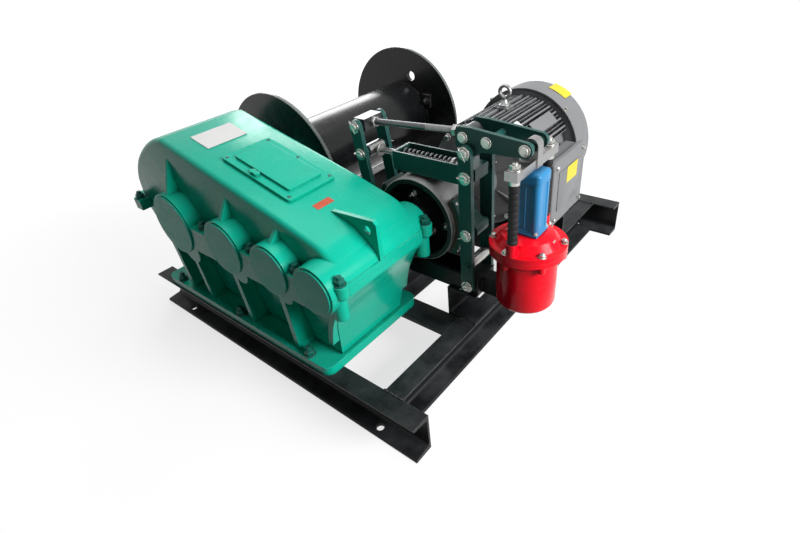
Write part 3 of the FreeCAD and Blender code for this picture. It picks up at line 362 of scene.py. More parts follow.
@dataclass(frozen=True)
class Steel:
    """Bare, machined or zinc-plated steel with tool marks, stain, and painted shade in inner corners."""

    finish: Finish
    colour: Colour = (0.55, 0.55, 0.54)
    roughness: float = 0.3
    stretch: tuple[float, float, float] = (10.0, 900.0, 10.0)
    stain: float = 0.35
    stain_and_shade_colour: Colour = (0.16, 0.13, 0.10)

    def material(self) -> bpy.types.Material:
        """Build the finish as a material."""
        material, sheet, shader = open_material(self.finish.value)
        edges = sheet.use(EFFECTS.edges, {"Width": 0.0008, "Amount": 0.4})
        marks = sheet.use(EFFECTS.turning, {"Stretch": self.stretch, "Height": 0.00003,
                                            "Normal": edges.outputs["Normal"]})
        tone = sheet.vector("SCALE", {0: self.colour,
                                      "Scale": sheet.ramp(marks.outputs["Mask"], 0.25, 0.75, (0.8, 1.12))})
        spots = sheet.ramp(sheet.noise(60.0, detail=8.0, rough=0.7), 0.52, 0.7, (0.0, self.stain))
        # Stains, and painted shade in inner corners by ambient occlusion, in the same colour.
        stain_and_shade = sheet.maths("MAXIMUM", spots, sheet.use(EFFECTS.corners, {"Reach": 0.01, "Amount": 0.8}).outputs[0])
        sheet.feed(shader, {"Base Color": sheet.blend(stain_and_shade, tone, self.stain_and_shade_colour),
                            "Roughness": sheet.ramp(stain_and_shade, 0.0, 1.0, (self.roughness, 0.75)),
                            "Metallic": sheet.ramp(stain_and_shade, 0.0, 1.0, (1.0, 0.35)),
                            "Normal": marks.outputs["Normal"]})
        return material


def centre(name: str) -> Vector:
    """Middle of a CAD node's box."""
    low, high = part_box(name)
    return (low + high) / 2


def round_y(axis: Vector, radius: float, degrees: float, y: float) -> Vector:
    """Point round an axis along Y; 0 degrees looks along +X, 90 up."""
    angle = math.radians(degrees)
    return Vector((axis.x + radius * math.cos(angle), y, axis.z + radius * math.sin(angle)))


def circle_y(axis: Vector, radius: float, count: int, first: float, y: float) -> list[Vector]:
    """Evenly spaced points round an axis along Y; first is the first one's angle in degrees."""
    return [round_y(axis, radius, 360 / count * i + first, y) for i in range(count)]


def round_rim(name: str) -> tuple[float, float, float]:
    """X and Z of the axis and the radius of a round CAD node that turns about Y."""
    middle, (low, high) = centre(name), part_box(name)
    return middle.x, middle.z, (high.x - low.x) / 2


def finish_list() -> list:
    """Describe every finish. Rims and linings are found by their distance from the wheel's or the drum's axis."""
    *axis, rim = round_rim("brake_wheel")
    *drum_axis, drum_rim = round_rim("drum_flange_near")
    # Every paint darkens its inner corners with painted shade. Lighter tints at the edges are painted highlights, and
    # lighter tints on faces that look up are painted top light.
    return [
        # Frame: the grey edges are wear and painted highlight; the dark grey on faces that look up is painted top
        # light.
        Paint(Finish.FRAME, (0.010, 0.0105, 0.0115), 0.38, 0.1, edge_colour=(0.20, 0.20, 0.20), edge=0.6,
              edge_width=0.0022, dust_and_top_light=0.6, dust_and_top_light_colour=(0.075, 0.08, 0.086), skin=0.0003, skin_scale=90.0,
              specular=0.12),
        # Case: the light teal at the edges is a painted highlight; the dark teal in corners is painted shade.
        Paint(Finish.CASE, (0.003, 0.43, 0.295), 0.25, 0.06, edge_colour=(0.14, 0.70, 0.58), edge=0.45,
              edge_width=0.002, corner_shade=0.85, corner_shade_colour=(0.002, 0.03, 0.024), dust_and_top_light=0.03, skin=0.0004,
              skin_scale=45.0, drift=0.3, specular=0.12),
        # Caps: the light teal at the edges is a painted highlight; the dark teal in corners is painted shade.
        Paint(Finish.CAP, (0.006, 0.36, 0.255), 0.4, 0.05, edge_colour=(0.14, 0.60, 0.50), edge=0.35,
              edge_width=0.002, corner_shade=0.8, corner_shade_colour=(0.002, 0.03, 0.024), dust_and_top_light=0.0, skin=0.0003,
              skin_scale=80.0, specular=0.14),
        # Drum: the grey band round the flange rims and the grey edges are a painted highlight on the black paint.
        Paint(Finish.DRUM, (0.005, 0.0055, 0.006), 0.26, 0.3, edge_colour=(0.25, 0.27, 0.26), edge=0.85,
              edge_width=0.0026, dust_and_top_light=0.08, dust_and_top_light_colour=(0.06, 0.06, 0.06), skin=0.0002, skin_scale=60.0,
              radial=(*drum_axis, drum_rim - 0.0012, (0.15, 0.17, 0.16), 0.4)),
        Steel(Finish.STEEL, (0.34, 0.34, 0.34), 0.32),
        Paint(Finish.WHEEL, (0.008, 0.009, 0.0095), 0.45, 0.1, dust_and_top_light=0.05, edge_colour=(0.12, 0.12, 0.12),
              radial=(*axis, rim - 0.0016, (0.50, 0.50, 0.49), 0.34)),
        # Motor: the near-black in corners and between fins is painted shade; the lighter grey edges are wear and
        # painted highlight.
        Paint(Finish.MOTOR, (0.175, 0.18, 0.187), 0.38, 0.1, edge_colour=(0.42, 0.43, 0.44), edge=0.5,
              corner_shade=0.95, corner_shade_colour=(0.01, 0.01, 0.01), dust_and_top_light=0.1, skin=0.0003, skin_scale=140.0),
        # Brake: the light green on the plates' edges is a painted highlight; the green on faces that look up is painted
        # top light.
        Paint(Finish.BRAKE, (0.010, 0.064, 0.056), 0.36, 0.15, edge_colour=(0.20, 0.42, 0.37), edge=0.95,
              edge_width=0.002, dust_and_top_light=0.06, dust_and_top_light_colour=(0.08, 0.20, 0.17)),
        # Tank: the brighter red at the edges is a painted highlight; the dark red in corners is painted shade.
        Paint(Finish.TANK, (0.86, 0.001, 0.014), 0.22, 0.12, specular=0.12, edge_colour=(0.92, 0.10, 0.12),
              edge=0.35, corner_shade=0.7, corner_shade_colour=(0.12, 0.001, 0.004), dust_and_top_light=0.02, skin=0.0004, skin_scale=45.0),
        # Thruster motor: the lighter blue at the edges is a painted highlight; the dark blue in corners is painted
        # shade.
        Paint(Finish.BLUE, (0.022, 0.19, 0.40), 0.36, 0.15, edge_colour=(0.20, 0.45, 0.66), edge=0.5,
              corner_shade=0.85, corner_shade_colour=(0.003, 0.025, 0.07), dust_and_top_light=0.04),
        Steel(Finish.ZINC, (0.46, 0.46, 0.44), 0.26, (60.0, 60.0, 60.0), 0.25),
        Steel(Finish.DARK_BOLT, (0.05, 0.05, 0.05), 0.38, (60.0, 60.0, 60.0), 0.2),
        # Painted bolts: the lighter green at the edges is a painted highlight; the dark green in corners is painted
        # shade.
        Paint(Finish.CASE_BOLT, (0.004, 0.12, 0.09), 0.35, 0.05, edge_colour=(0.2, 0.5, 0.42), edge=0.5,
              edge_width=0.001, specular=0.15, corner_shade=0.9, corner_shade_colour=(0.004, 0.03, 0.024), dust_and_top_light=0.05),
        Paint(Finish.RUBBER, (0.010, 0.010, 0.011), 0.62, 0.0, edge_colour=(0.07, 0.07, 0.07), edge=0.4,
              edge_width=0.001, dust_and_top_light=0.15, skin=0.0001),
        Paint(Finish.PLATE, (0.62, 0.62, 0.61), 0.4, 0.1, edge_colour=(0.5, 0.5, 0.5), edge=0.3,
              edge_width=0.0008, corner_shade=0.3, dust_and_top_light=0.08, skin=0.00005),
        Paint(Finish.RED_PLATE, (0.48, 0.06, 0.015), 0.4, 0.1, edge_width=0.0008, corner_shade=0.3, skin=0.00005),
        Paint(Finish.YELLOW, (0.66, 0.55, 0.03), 0.4, 0.1, edge_width=0.0006, corner_shade=0.3, dust_and_top_light=0.08,
              skin=0.00005),
        Paint(Finish.WELD, (0.016, 0.017, 0.018), 0.38, 0.2, edge_colour=(0.16, 0.16, 0.16), edge=0.3,
              edge_width=0.0008, dust_and_top_light=0.25, dust_and_top_light_colour=(0.13, 0.13, 0.13)),
        Paint(Finish.SHIELD, (0.20, 0.205, 0.21), 0.38, 0.2, edge_colour=(0.42, 0.43, 0.44), edge=0.4,
              corner_shade=0.8, dust_and_top_light=0.1),
        Paint(Finish.GRILLE, (0.012, 0.012, 0.013), 0.6, 0.0, edge_colour=(0.05, 0.05, 0.05), dust_and_top_light=0.2),
        # Lining: the light green on the shoes' edges is a painted highlight; the brown inside the radius is the lining
        # itself.
        Paint(Finish.LINING, (0.010, 0.045, 0.038), 0.4, 0.2, edge_colour=(0.16, 0.34, 0.29), edge=0.6,
              radial=(*axis, -(rim + 0.0086), (0.085, 0.07, 0.055), 0.85)),
        Steel(Finish.SPRING, (0.10, 0.105, 0.11), 0.3, (200.0, 30.0, 30.0), 0.25),
    ]


FINISHES = {spec.finish: spec.material() for spec in finish_list()}


def dress(obj: Shape, finish: Finish) -> None:
    """Give a piece or a CAD node one finish."""
    obj.data.materials.clear()
    obj.data.materials.append(FINISHES[finish])


def dress_cad_nodes() -> None:
    """Give every carried-over CAD node the finish of its material slot, or the one named here."""
    special = {"motor_end_shield": Finish.SHIELD, "brake_shoe_left": Finish.LINING, "brake_shoe_right": Finish.LINING,
               "brake_spring": Finish.SPRING, "tie_rod": Finish.SPRING}
    slots = {row["node"]: row["material_slot"] for row in frame["record"]["subparts"]}
    for name, obj in frame["nodes"].items():
        dress(obj, special.get(name) or Finish(slots[name]))
        LOG.info("node %s is %s", name, obj.data.materials[0].name)


# ------------------------------------------------------------------ modelling bench
def deselect() -> None:
    """Drop the selection, so that a new primitive stands alone."""
    bpy.ops.object.select_all(action="DESELECT")


def pick(*objects: Shape) -> None:
    """Select only these objects, and make the first one active."""
    deselect()
    for obj in objects:
        obj.select_set(True)
    bpy.context.view_layer.objects.active = objects[0]


def settle(obj: Shape, name: str, angle: float = 35.0) -> Shape:
    """Bring a piece's place into its mesh, smooth it by angle and name it."""
    pick(obj)
    bpy.ops.object.transform_apply(location=True, rotation=True, scale=True)
    bpy.ops.object.shade_smooth_by_angle(angle=math.radians(angle))
    for modifier in list(obj.modifiers):
        bpy.ops.object.modifier_apply(modifier=modifier.name)
    obj.name = name
    obj.data.name = name
    return obj


at = Matrix.Translation       # place at a point


def spin(degrees: float, axis: str) -> Matrix:
    """Turn about an axis."""
    return Matrix.Rotation(math.radians(degrees), 4, axis)


def move(obj: Shape, *steps: Matrix) -> Shape:
    """Move a shape's points by the product of the steps."""
    whole = Matrix()
    for step in steps:
        whole = whole @ step
    obj.data.transform(whole)
    return obj


def aim(point: Vector, direction: Vector, turn: float = 0.0) -> Matrix:
    """Placing matrix that stands a master's Z on a direction at a point."""
    stand = direction.to_track_quat("Z", "Y").to_matrix().to_4x4()
    return at(point) @ stand @ Matrix.Rotation(turn, 4, "Z")


def edit(obj: Shape, test: Callable[[Vector, Vector], bool], *tools: Callable[[], object],
         edges: bool = False) -> None:
    """Run edit-mode tools on a part of a mesh.

    Args:
        obj: the mesh object.
        test: picks faces by centre and normal, or edges by middle and direction.
        tools: what to run on them, in order.
        edges: work on edges instead of faces.
    """
    pick(obj)
    bpy.ops.object.mode_set(mode="EDIT")
    bpy.ops.mesh.select_mode(type="EDGE" if edges else "FACE")
    bpy.ops.mesh.select_all(action="DESELECT")
    mesh = bmesh.from_edit_mesh(obj.data)
    if edges:
        for edge in mesh.edges:
            a, b = edge.verts[0].co, edge.verts[1].co
            edge.select_set(test((a + b) / 2, (b - a).normalized()))
    else:
        for face in mesh.faces:
            face.select_set(test(face.calc_center_median(), face.normal))
    bmesh.update_edit_mesh(obj.data)
    for tool in tools:
        tool()
    bpy.ops.object.mode_set(mode="OBJECT")


def bevel_all(obj: Shape, width: float, segments: int = 2, angle: float = 40.0) -> Shape:
    """Round every edge sharper than angle with an applied Bevel modifier."""
    pick(obj)
    modifier = obj.modifiers.new("round", "BEVEL")
    modifier.width, modifier.segments = width, segments
    modifier.limit_method, modifier.angle_limit = "ANGLE", math.radians(angle)
    bpy.ops.object.modifier_apply(modifier=modifier.name)
    return obj


def block(low: Sequence[float], high: Sequence[float], bevel: float = 0.0, segments: int = 2) -> Shape:
    """Box between two corners with rounded edges."""
    low, high = Vector(low), Vector(high)
    deselect()
    bpy.ops.mesh.primitive_cube_add(size=1.0, location=(low + high) / 2, scale=high - low)
    obj = bpy.context.object
    bpy.ops.object.transform_apply(location=True, rotation=True, scale=True)
    return bevel_all(obj, bevel, segments) if bevel else obj


def stepped(steps: Points, sides: int = 24, turn: float = 0.0) -> Shape:
    """Turned shape on the Z axis.

    Args:
        steps: (height above the origin, radius) from the bottom up; the first is the bottom rim.
        sides: number of sides.
        turn: turn about Z of the first flat, in radians.
    Returns:
        A closed mesh object at the origin.
    """
    (z0, r0), (z1, r1) = steps[0], steps[1]
    deselect()
    bpy.ops.mesh.primitive_cone_add(vertices=sides, radius1=r0, radius2=r1, depth=z1 - z0,
                                    location=(0, 0, (z0 + z1) / 2), rotation=(0, 0, turn))
    obj = bpy.context.object
    bpy.ops.object.transform_apply(location=True, rotation=True, scale=True)

    def rise() -> None:
        """Draw the top face up through the remaining steps."""
        height, radius = z1, r1
        for z, r in steps[2:]:
            bpy.ops.mesh.extrude_region_move(TRANSFORM_OT_translate={"value": (0, 0, z - height)})
            if abs(r - radius) > 1e-7:
                bpy.ops.transform.resize(value=(r / radius, r / radius, 1.0), center_override=(0, 0, z))
            height, radius = z, r

    edit(obj, lambda c, n: n.z > 0.99 and c.z > z1 - 1e-6, rise)
    return obj


def turned(sides: int, *steps: tuple[float, float]) -> Shape:
    """Turned shape on the Z axis from (height, radius) steps in millimetres."""
    return stepped([(z * MM, r * MM) for z, r in steps], sides)


def ring(major: float, minor: float, sides: int = 32, tube: int = 10) -> Shape:
    """Round ring about the Z axis at the origin."""
    deselect()
    bpy.ops.mesh.primitive_torus_add(major_radius=major, minor_radius=minor, major_segments=sides,
                                     minor_segments=tube)
    return bpy.context.object


def joined(objects: Sequence[Shape]) -> Shape:
    """Join objects into the first one."""
    pick(*objects)
    if len(objects) > 1:
        bpy.ops.object.join()
    return objects[0]


def stamp(master: Shape, places: Sequence[Matrix]) -> Shape:
    """Copy a master to every place, each copy with its own mesh, and join the copies."""
    copies = []
    for place in places:
        copy = master.copy()
        copy.data = master.data.copy()
        copy.data.transform(place)
        bpy.context.scene.collection.objects.link(copy)
        copies.append(copy)
    bpy.data.objects.remove(master)
    return joined(copies)


def fit(obj: Shape, name: str, body: str, finish: Finish, angle: float = 35.0) -> Shape:
    """Finish a piece: settle it, dress it and let it ride on its body."""
    settle(obj, name, angle)
    dress(obj, finish)
    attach(obj, body)
    LOG.info("piece %s on %s: %d faces", name, body, len(obj.data.polygons))
    return obj


def lay(name: str, master: Shape, places: Sequence[Matrix], finish: Finish = Finish.ZINC,
        body: str = "frame", angle: float = 30.0) -> Shape:
    """Copy a master to its places, and fit the copies as one piece."""
    return fit(stamp(master, places), name, body, finish, angle)


def row(spots: Sequence[Vector], way: Vector) -> list[Matrix]:
    """Places for fasteners that look one way, each turned a little more than the one before."""
    return [aim(spot, way, i * UNIT_TURN) for i, spot in enumerate(spots)]


# ------------------------------------------------------------------ fasteners, sizes in millimetres
def hex_bolt(flats: float, head: float, washer: float = 0.0, stud: float = 0.0) -> Shape:
    """Hexagon head or nut on the Z axis.

    Args:
        flats: half the width over the corners.
        head: height of the head.
        washer: radius of the washer under it, none if 0.
        stud: how far the threaded end stands out of the nut, none if 0.
    Returns:
        The joined master at the origin.
    """
    base = 0.0
    parts = []
    if washer:
        base = 0.16 * head + 0.8
        parts.append(turned(24, (0, washer), (base * 0.8, washer), (base, washer * 0.95)))
    parts.append(turned(6, (base, flats * 0.94), (base + 0.1 * head, flats), (base + 0.84 * head, flats),
                        (base + head, flats * 0.84), (base + head * 1.001, flats * 0.6)))
    if stud:
        top = base + head + stud
        parts.append(turned(14, (base, flats * 0.55), (top - 1, flats * 0.55), (top, flats * 0.45)))
    return joined(parts)


def socket_screw(radius: float, height: float) -> Shape:
    """Round head with a hexagon socket, on the Z axis."""
    head = turned(20, (0, radius), (height * 0.8, radius), (height, radius * 0.86))
    edit(head, lambda c, n: n.z > 0.99, lambda: bpy.ops.mesh.inset(thickness=radius * 0.36 * MM, depth=0.0),
         lambda: bpy.ops.mesh.extrude_region_move(TRANSFORM_OT_translate={"value": (0, 0, -height * 0.5 * MM)}))
    return head


def split_pin(reach: float, wire: float) -> Shape:
    """Split pin along Z through a pin's end: an eye on one side and two bent legs."""
    parts = [move(ring(wire * 2.2 * MM, wire * MM, 14, 6), at((0, 0, (reach + wire * 2) * MM)), spin(90, "X"))]
    for side in (-1, 1):
        leg = turned(8, (-reach - 6, wire * 0.8), (reach, wire))
        edit(leg, lambda c, n: c.z < (1 - reach) * MM and n.z < -0.5,
             lambda s=side: bpy.ops.transform.translate(value=(s * 4 * MM, 0, 2 * MM)))
        parts.append(move(leg, at((side * wire * 0.9 * MM, 0, 0))))
    return joined(parts)


def washer_plate(radius: float, bore: float, thickness: float) -> Shape:
    """Flat washer about the Z axis with its underside at the origin."""
    disc = turned(28, (0, radius), (thickness * 0.8, radius), (thickness, radius - thickness * 0.2))
    edit(disc, lambda c, n: n.z > 0.99, lambda: bpy.ops.mesh.inset(thickness=(radius - bore) * 0.9 * MM),
         lambda: bpy.ops.mesh.extrude_region_move(TRANSFORM_OT_translate={"value": (0, 0, -thickness * 0.4 * MM)}))
    return disc


def thread(start: Vector, end: Vector, radius: float, pitch: float = 0.0022) -> Shape:
    """Row of thread crests round a rod from start to end."""
    crest = stepped([(0, radius * 0.93), (pitch * 0.5, radius * 1.07), (pitch, radius * 0.93)], 16)
    direction = (end - start).normalized()
    count = int((end - start).length / pitch)
    return stamp(crest, [aim(start + direction * pitch * i, direction) for i in range(count)])


def smooth_row(points: Points, steps: int = 6) -> list[tuple[float, float]]:
    """Curve through a row of points.

    Args:
        points: the points that the curve passes through.
        steps: number of pieces between two of them.
    Returns:
        The points of the curve, ends included.
    """
    row = [points[0], *points, points[-1]]
    curve = []
    for a, b, c, d in zip(row, row[1:], row[2:], row[3:]):
        for i in range(steps):
            t = i / steps
            curve.append(tuple(0.5 * (2 * b[k] + (c[k] - a[k]) * t + (2 * a[k] - 5 * b[k] + 4 * c[k] - d[k]) * t * t
                                      + (3 * b[k] - a[k] - 3 * c[k] + d[k]) * t ** 3) for k in (0, 1)))
    return curve + [tuple(points[-1])]


def prism(outline: Points, y: tuple[float, float]) -> Shape:
    """Solid between two XZ planes.

    Args:
        outline: (x, z) of its corners, in order.
        y: the near and far faces.
    Returns:
        The closed mesh object.
    """
    deselect()
    bpy.ops.mesh.primitive_circle_add(vertices=len(outline), radius=1.0, fill_type="NGON")
    obj = bpy.context.object
    for vertex, (x, z) in zip(obj.data.vertices, outline):
        vertex.co = (x, y[0], z)
    pick(obj)
    bpy.ops.object.mode_set(mode="EDIT")
    bpy.ops.mesh.select_all(action="SELECT")
    bpy.ops.mesh.extrude_region_move(TRANSFORM_OT_translate={"value": (0, y[1] - y[0], 0)})
    bpy.ops.mesh.select_all(action="SELECT")
    bpy.ops.mesh.normals_make_consistent(inside=False)
    bpy.ops.object.mode_set(mode="OBJECT")
    return obj


def round_edges(obj: Shape, test: Callable[[Vector, Vector], bool], width: float, segments: int) -> None:
    """Bevel the edges whose middle and direction pass the test."""
    edit(obj, test, lambda: bpy.ops.mesh.bevel(offset=width, segments=segments, affect="EDGES", clamp_overlap=True),
         edges=True)


# ------------------------------------------------------------------ sub-assemblies
@dataclass
class CaseShell:
    """Outer skin of the case's two halves, drawn over the plain solids, with the ribs on its near side.

    Outlines are (distance from the case's left end, height over the joint or the foot) in millimetres.
    """

    half: float = 118 * MM
    foot_half: float = 100 * MM
    round_top: float = 13 * MM
    foot_drop: float = 217.6 * MM
    draw_height: float = 150 * MM
    cover: tuple = ((26.4, 0), (26.6, 34), (36.6, 74), (73.2, 121), (133.4, 164), (195.6, 193), (246, 203.4))
    shoulder: tuple = ((571, 121.6), (636, 105.4), (697, 88), (739, 75), (760, 62.5), (778, 47), (792, 26), (799, 0))
    tub: tuple = ((157, 0), (152, 40), (132, 80), (74.5, 142), (38.5, 198), (32.5, 204))
    tub_end: tuple = ((796, 204), (785, 174), (752, 112), (735.5, 44), (727.5, 0))
    # (distance from the left end, top, foot) of each rib
    rib_rows: tuple = ((250, 164, 72), (462, 113, 58), (624, 83, 51))
    rib_half: float = 6 * MM
    rib_reach: float = 149 * MM

    def build(self) -> None:
        """Model and fit the skin and the ribs."""
        self.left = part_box("gearbox_base")[0].x
        self.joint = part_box("gearbox_cover")[0].z
        self.middle = centre("gearbox_base").y
        self.upper()
        self.lower()
        self.ribs()

    def shell(self, base: float, *rows: Points) -> Shape:
        """Return the solid inside smooth rows of outline points over a base."""
        outline = []
        for row in rows:
            outline += smooth_row([(self.left + x * MM, base + z * MM) for x, z in row])
        return prism(outline, (self.middle - self.half, self.middle + self.half))

    def upper(self) -> None:
        """Upper half: round left end, sloping top and rounded right shoulder."""
        shell = self.shell(self.joint, self.cover, self.shoulder)
        base = self.joint + 1 * MM
        round_edges(shell, lambda c, d: abs(d.y) < 0.1 and c.z > base, self.round_top, 4)
        fit(shell, "case_upper_skin", "frame", Finish.CASE, 32)

    def lower(self) -> None:
        """Lower half: wide at the joint, drawn in towards the foot."""
        base = self.joint - self.foot_drop
        shell = self.shell(base, self.tub, self.tub_end)
        for vertex in shell.data.vertices:
            share = max(0.0, min(1.0, (base + self.draw_height - vertex.co.z) / self.draw_height))
            narrow = 1 - (1 - self.foot_half / self.half) * share
            vertex.co.y = self.middle + (vertex.co.y - self.middle) * narrow
        round_edges(shell, lambda c, d: abs(d.y) < 0.1 and base + 1 * MM < c.z < base + 0.2, 4 * MM, 3)
        fit(shell, "case_lower_skin", "frame", Finish.CASE, 32)

    def ribs(self) -> None:
        """Three-cornered ribs between the near wall and the bosses."""
        wall, front = self.middle - self.half + 2 * MM, self.middle - self.rib_reach
        parts = []
        for x, top, foot in self.rib_rows:
            middle, low, high = self.left + x * MM, self.joint + foot * MM, self.joint + top * MM
            rib = block((middle - self.rib_half, front, low), (middle + self.rib_half, wall, high))
            edit(rib, lambda c, n: n.y < -0.9, lambda low=low, high=high: bpy.ops.transform.resize(
                value=(1, 1, 0.04), center_override=(0, 0, low + (high - low) * 0.02)))
            parts.append(bevel_all(rib, 1.6 * MM, 2, 20))
        fit(joined(parts), "case_upper_ribs", "frame", Finish.CASE, 32)


@dataclass
class GearCaseTrim:
    """Bolts, corner lugs and blank plates of the gear case."""

    bolt_flats: float = 11
    bolt_head: float = 10
    washer: float = 13
    stud_rows: tuple[float, float] = (-138 * MM, 124 * MM)
    lug: float = 4 * MM
    lug_out: float = 129 * MM
    lug_height: float = 8 * MM
    left_bolt: tuple[float, float] = (44 * MM, 134 * MM)
    foot_bolts: tuple[float, ...] = (-0.410, -0.132, 0.126)
    foot_bolt_out: float = 142 * MM
    foot_top: float = 122 * MM
    flange_top: float = 354 * MM
    hatch_slope: float = math.degrees(math.atan2(81.0, 325.0))
    # (name, middle, lean in degrees, size, finish) of each plate
    plates: tuple = (("case_plate", (-0.224, -0.379, 0.5264), 14.1, (0.068, 0.108), Finish.PLATE),
                     ("case_red_plate", (0.118, -0.387, 0.4391), 15.6, (0.018, 0.046), Finish.RED_PLATE))

    def build(self) -> None:
        """Model and fit every part."""
        self.low, self.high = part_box("gearbox_base")
        self.middle = centre("gearbox_base").y
        self.joint_bolts()
        self.foot_fasteners()
        self.hatch_screws()
        self.blank_plates()

    def joint_bolts(self) -> None:
        """Nuts on studs along the joint flange, and the lugs under the right corners' nuts."""
        caps = [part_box(f"bearing_cap_{i}") for i in range(1, 5)]
        between = [(a[1].x + b[0].x) / 2 for a, b in zip(caps, caps[1:])]
        rows = [Vector((x, self.middle + out, self.flange_top)) for out in self.stud_rows for x in between]
        corners = [Vector((self.high.x - self.lug, self.middle + side * self.lug_out, self.flange_top))
                   for side in (-1, 1)]
        along, out = self.left_bolt
        ends = [Vector((self.low.x + along, self.middle + side * out, self.flange_top)) for side in (-1, 1)]
        raised = [spot + Z_AXIS * self.lug_height for spot in corners]
        lay("case_joint_nuts", hex_bolt(self.bolt_flats, self.bolt_head, self.washer, 7),
            row(rows + raised + ends, Z_AXIS), Finish.CASE_BOLT)
        lug = stepped([(-24 * MM, 9 * MM), (-18 * MM, 14 * MM), (self.lug_height - 1 * MM, 15 * MM),
                       (self.lug_height, 14 * MM)], 28)
        lay("case_corner_lugs", lug, [at(spot) for spot in corners], Finish.CASE, angle=35)

    def foot_fasteners(self) -> None:
        """Bolts that hold the foot to the frame, on both sides."""
        spots = [Vector((x, self.middle + side * self.foot_bolt_out, self.foot_top))
                 for side in (-1, 1) for x in self.foot_bolts]
        bolt = hex_bolt(self.bolt_flats * 1.1, self.bolt_head * 1.1, self.washer * 1.1, 10)
        lay("case_foot_nuts", bolt, row(spots, Z_AXIS), Finish.CASE_BOLT)

    def hatch_screws(self) -> None:
        """Six screws round the inspection cover, square to its sloping face."""
        plane = at(centre("inspection_cover")) @ spin(self.hatch_slope, "Y")
        lay("hatch_screws", socket_screw(4.2, 4),
            [plane @ at((x, y, 0.4 * MM)) for x in (-0.1, 0.0, 0.1) for y in (-0.057, 0.057)],
            Finish.DARK_BOLT)

    def blank_plates(self) -> None:
        """Two plain plates on the sloping top, left without any marking."""
        for name, middle, lean, size, finish in self.plates:
            half = Vector((size[0] / 2, size[1] / 2, 0))
            plate = block(-half, half + Z_AXIS * 0.9 * MM, 0.3 * MM, 1)
            edit(plate, lambda c, n: n.z > 0.99, lambda: bpy.ops.mesh.inset(thickness=2.5 * MM, depth=-0.25 * MM))
            rivets = stamp(turned(10, (0, 1.5), (0.6, 1.2), (0.9, 0.5)),
                           [at((sx * (half.x - 4 * MM), sy * (half.y - 4 * MM), 0.6 * MM))
                            for sx in (-1, 1) for sy in (-1, 1)])
            fit(move(joined([plate, rivets]), at(middle), spin(lean, "Y")), name, "frame", finish, 30)


@dataclass
class DrumTrim:
    """Rope clamp, hub bolts and the pedestal's fasteners."""

    clamp: tuple[float, float] = (-0.181, 0.401)
    clamp_size: tuple[float, float, float] = (17 * MM, 11 * MM, 22 * MM)
    hub_circle: float = 78 * MM
    foot_bolt_out: float = 96 * MM
    foot_top: float = 120 * MM
    cap_bolt_out: float = 76 * MM
    cap_joint: float = 16 * MM

    def build(self) -> None:
        """Model and fit every part."""
        self.low, self.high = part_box("drum_flange_far")
        self.axis = centre("drum_shaft")
        self.rope_clamp()
        self.hub_bolts()
        self.pedestal_bolts()

    def rope_clamp(self) -> None:
        """Block that holds the rope's end on the far flange, with its bolt."""
        face = Vector((self.clamp[0], self.low.y, self.clamp[1]))
        half_x, thick, half_z = self.clamp_size
        plate = block(face - Vector((half_x, thick, half_z)), face + Vector((half_x, 0, half_z)), 3 * MM)
        fit(plate, "rope_clamp", "drum", Finish.DRUM)
        lay("rope_clamp_bolt", hex_bolt(9, 8, 11, 4), [aim(face - Y_AXIS * thick, -Y_AXIS)],
            Finish.DARK_BOLT, "drum")

    def hub_bolts(self) -> None:
        """Ring of bolts that holds each flange's hub, on the outer faces."""
        places = []
        for y, way in ((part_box("drum_flange_near")[0].y, -Y_AXIS), (self.high.y, Y_AXIS)):
            places += row(circle_y(self.axis, self.hub_circle, 8, 20, y), way)
        lay("hub_bolts", hex_bolt(8, 7, 10), places, Finish.DARK_BOLT, "drum")

    def pedestal_bolts(self) -> None:
        """Foot bolts, cap bolts and the grease nipple of the far bearing."""
        y = centre("drum_pedestal").y
        places = [aim(Vector((self.axis.x + side * out, y, z)), Z_AXIS, side)
                  for out, z in ((self.foot_bolt_out, self.foot_top), (self.cap_bolt_out, self.axis.z + self.cap_joint))
                  for side in (-1, 1)]
        lay("pedestal_nuts", hex_bolt(11, 10, 13, 8), places, Finish.DARK_BOLT)
        nipple = turned(12, (0, 5), (4, 5), (5, 3), (9, 2.6), (10, 3.4), (12, 1.8))
        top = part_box("drum_pedestal")[1].z - 0.6 * MM
        lay("grease_nipple", nipple, [at((self.axis.x, y, top))])


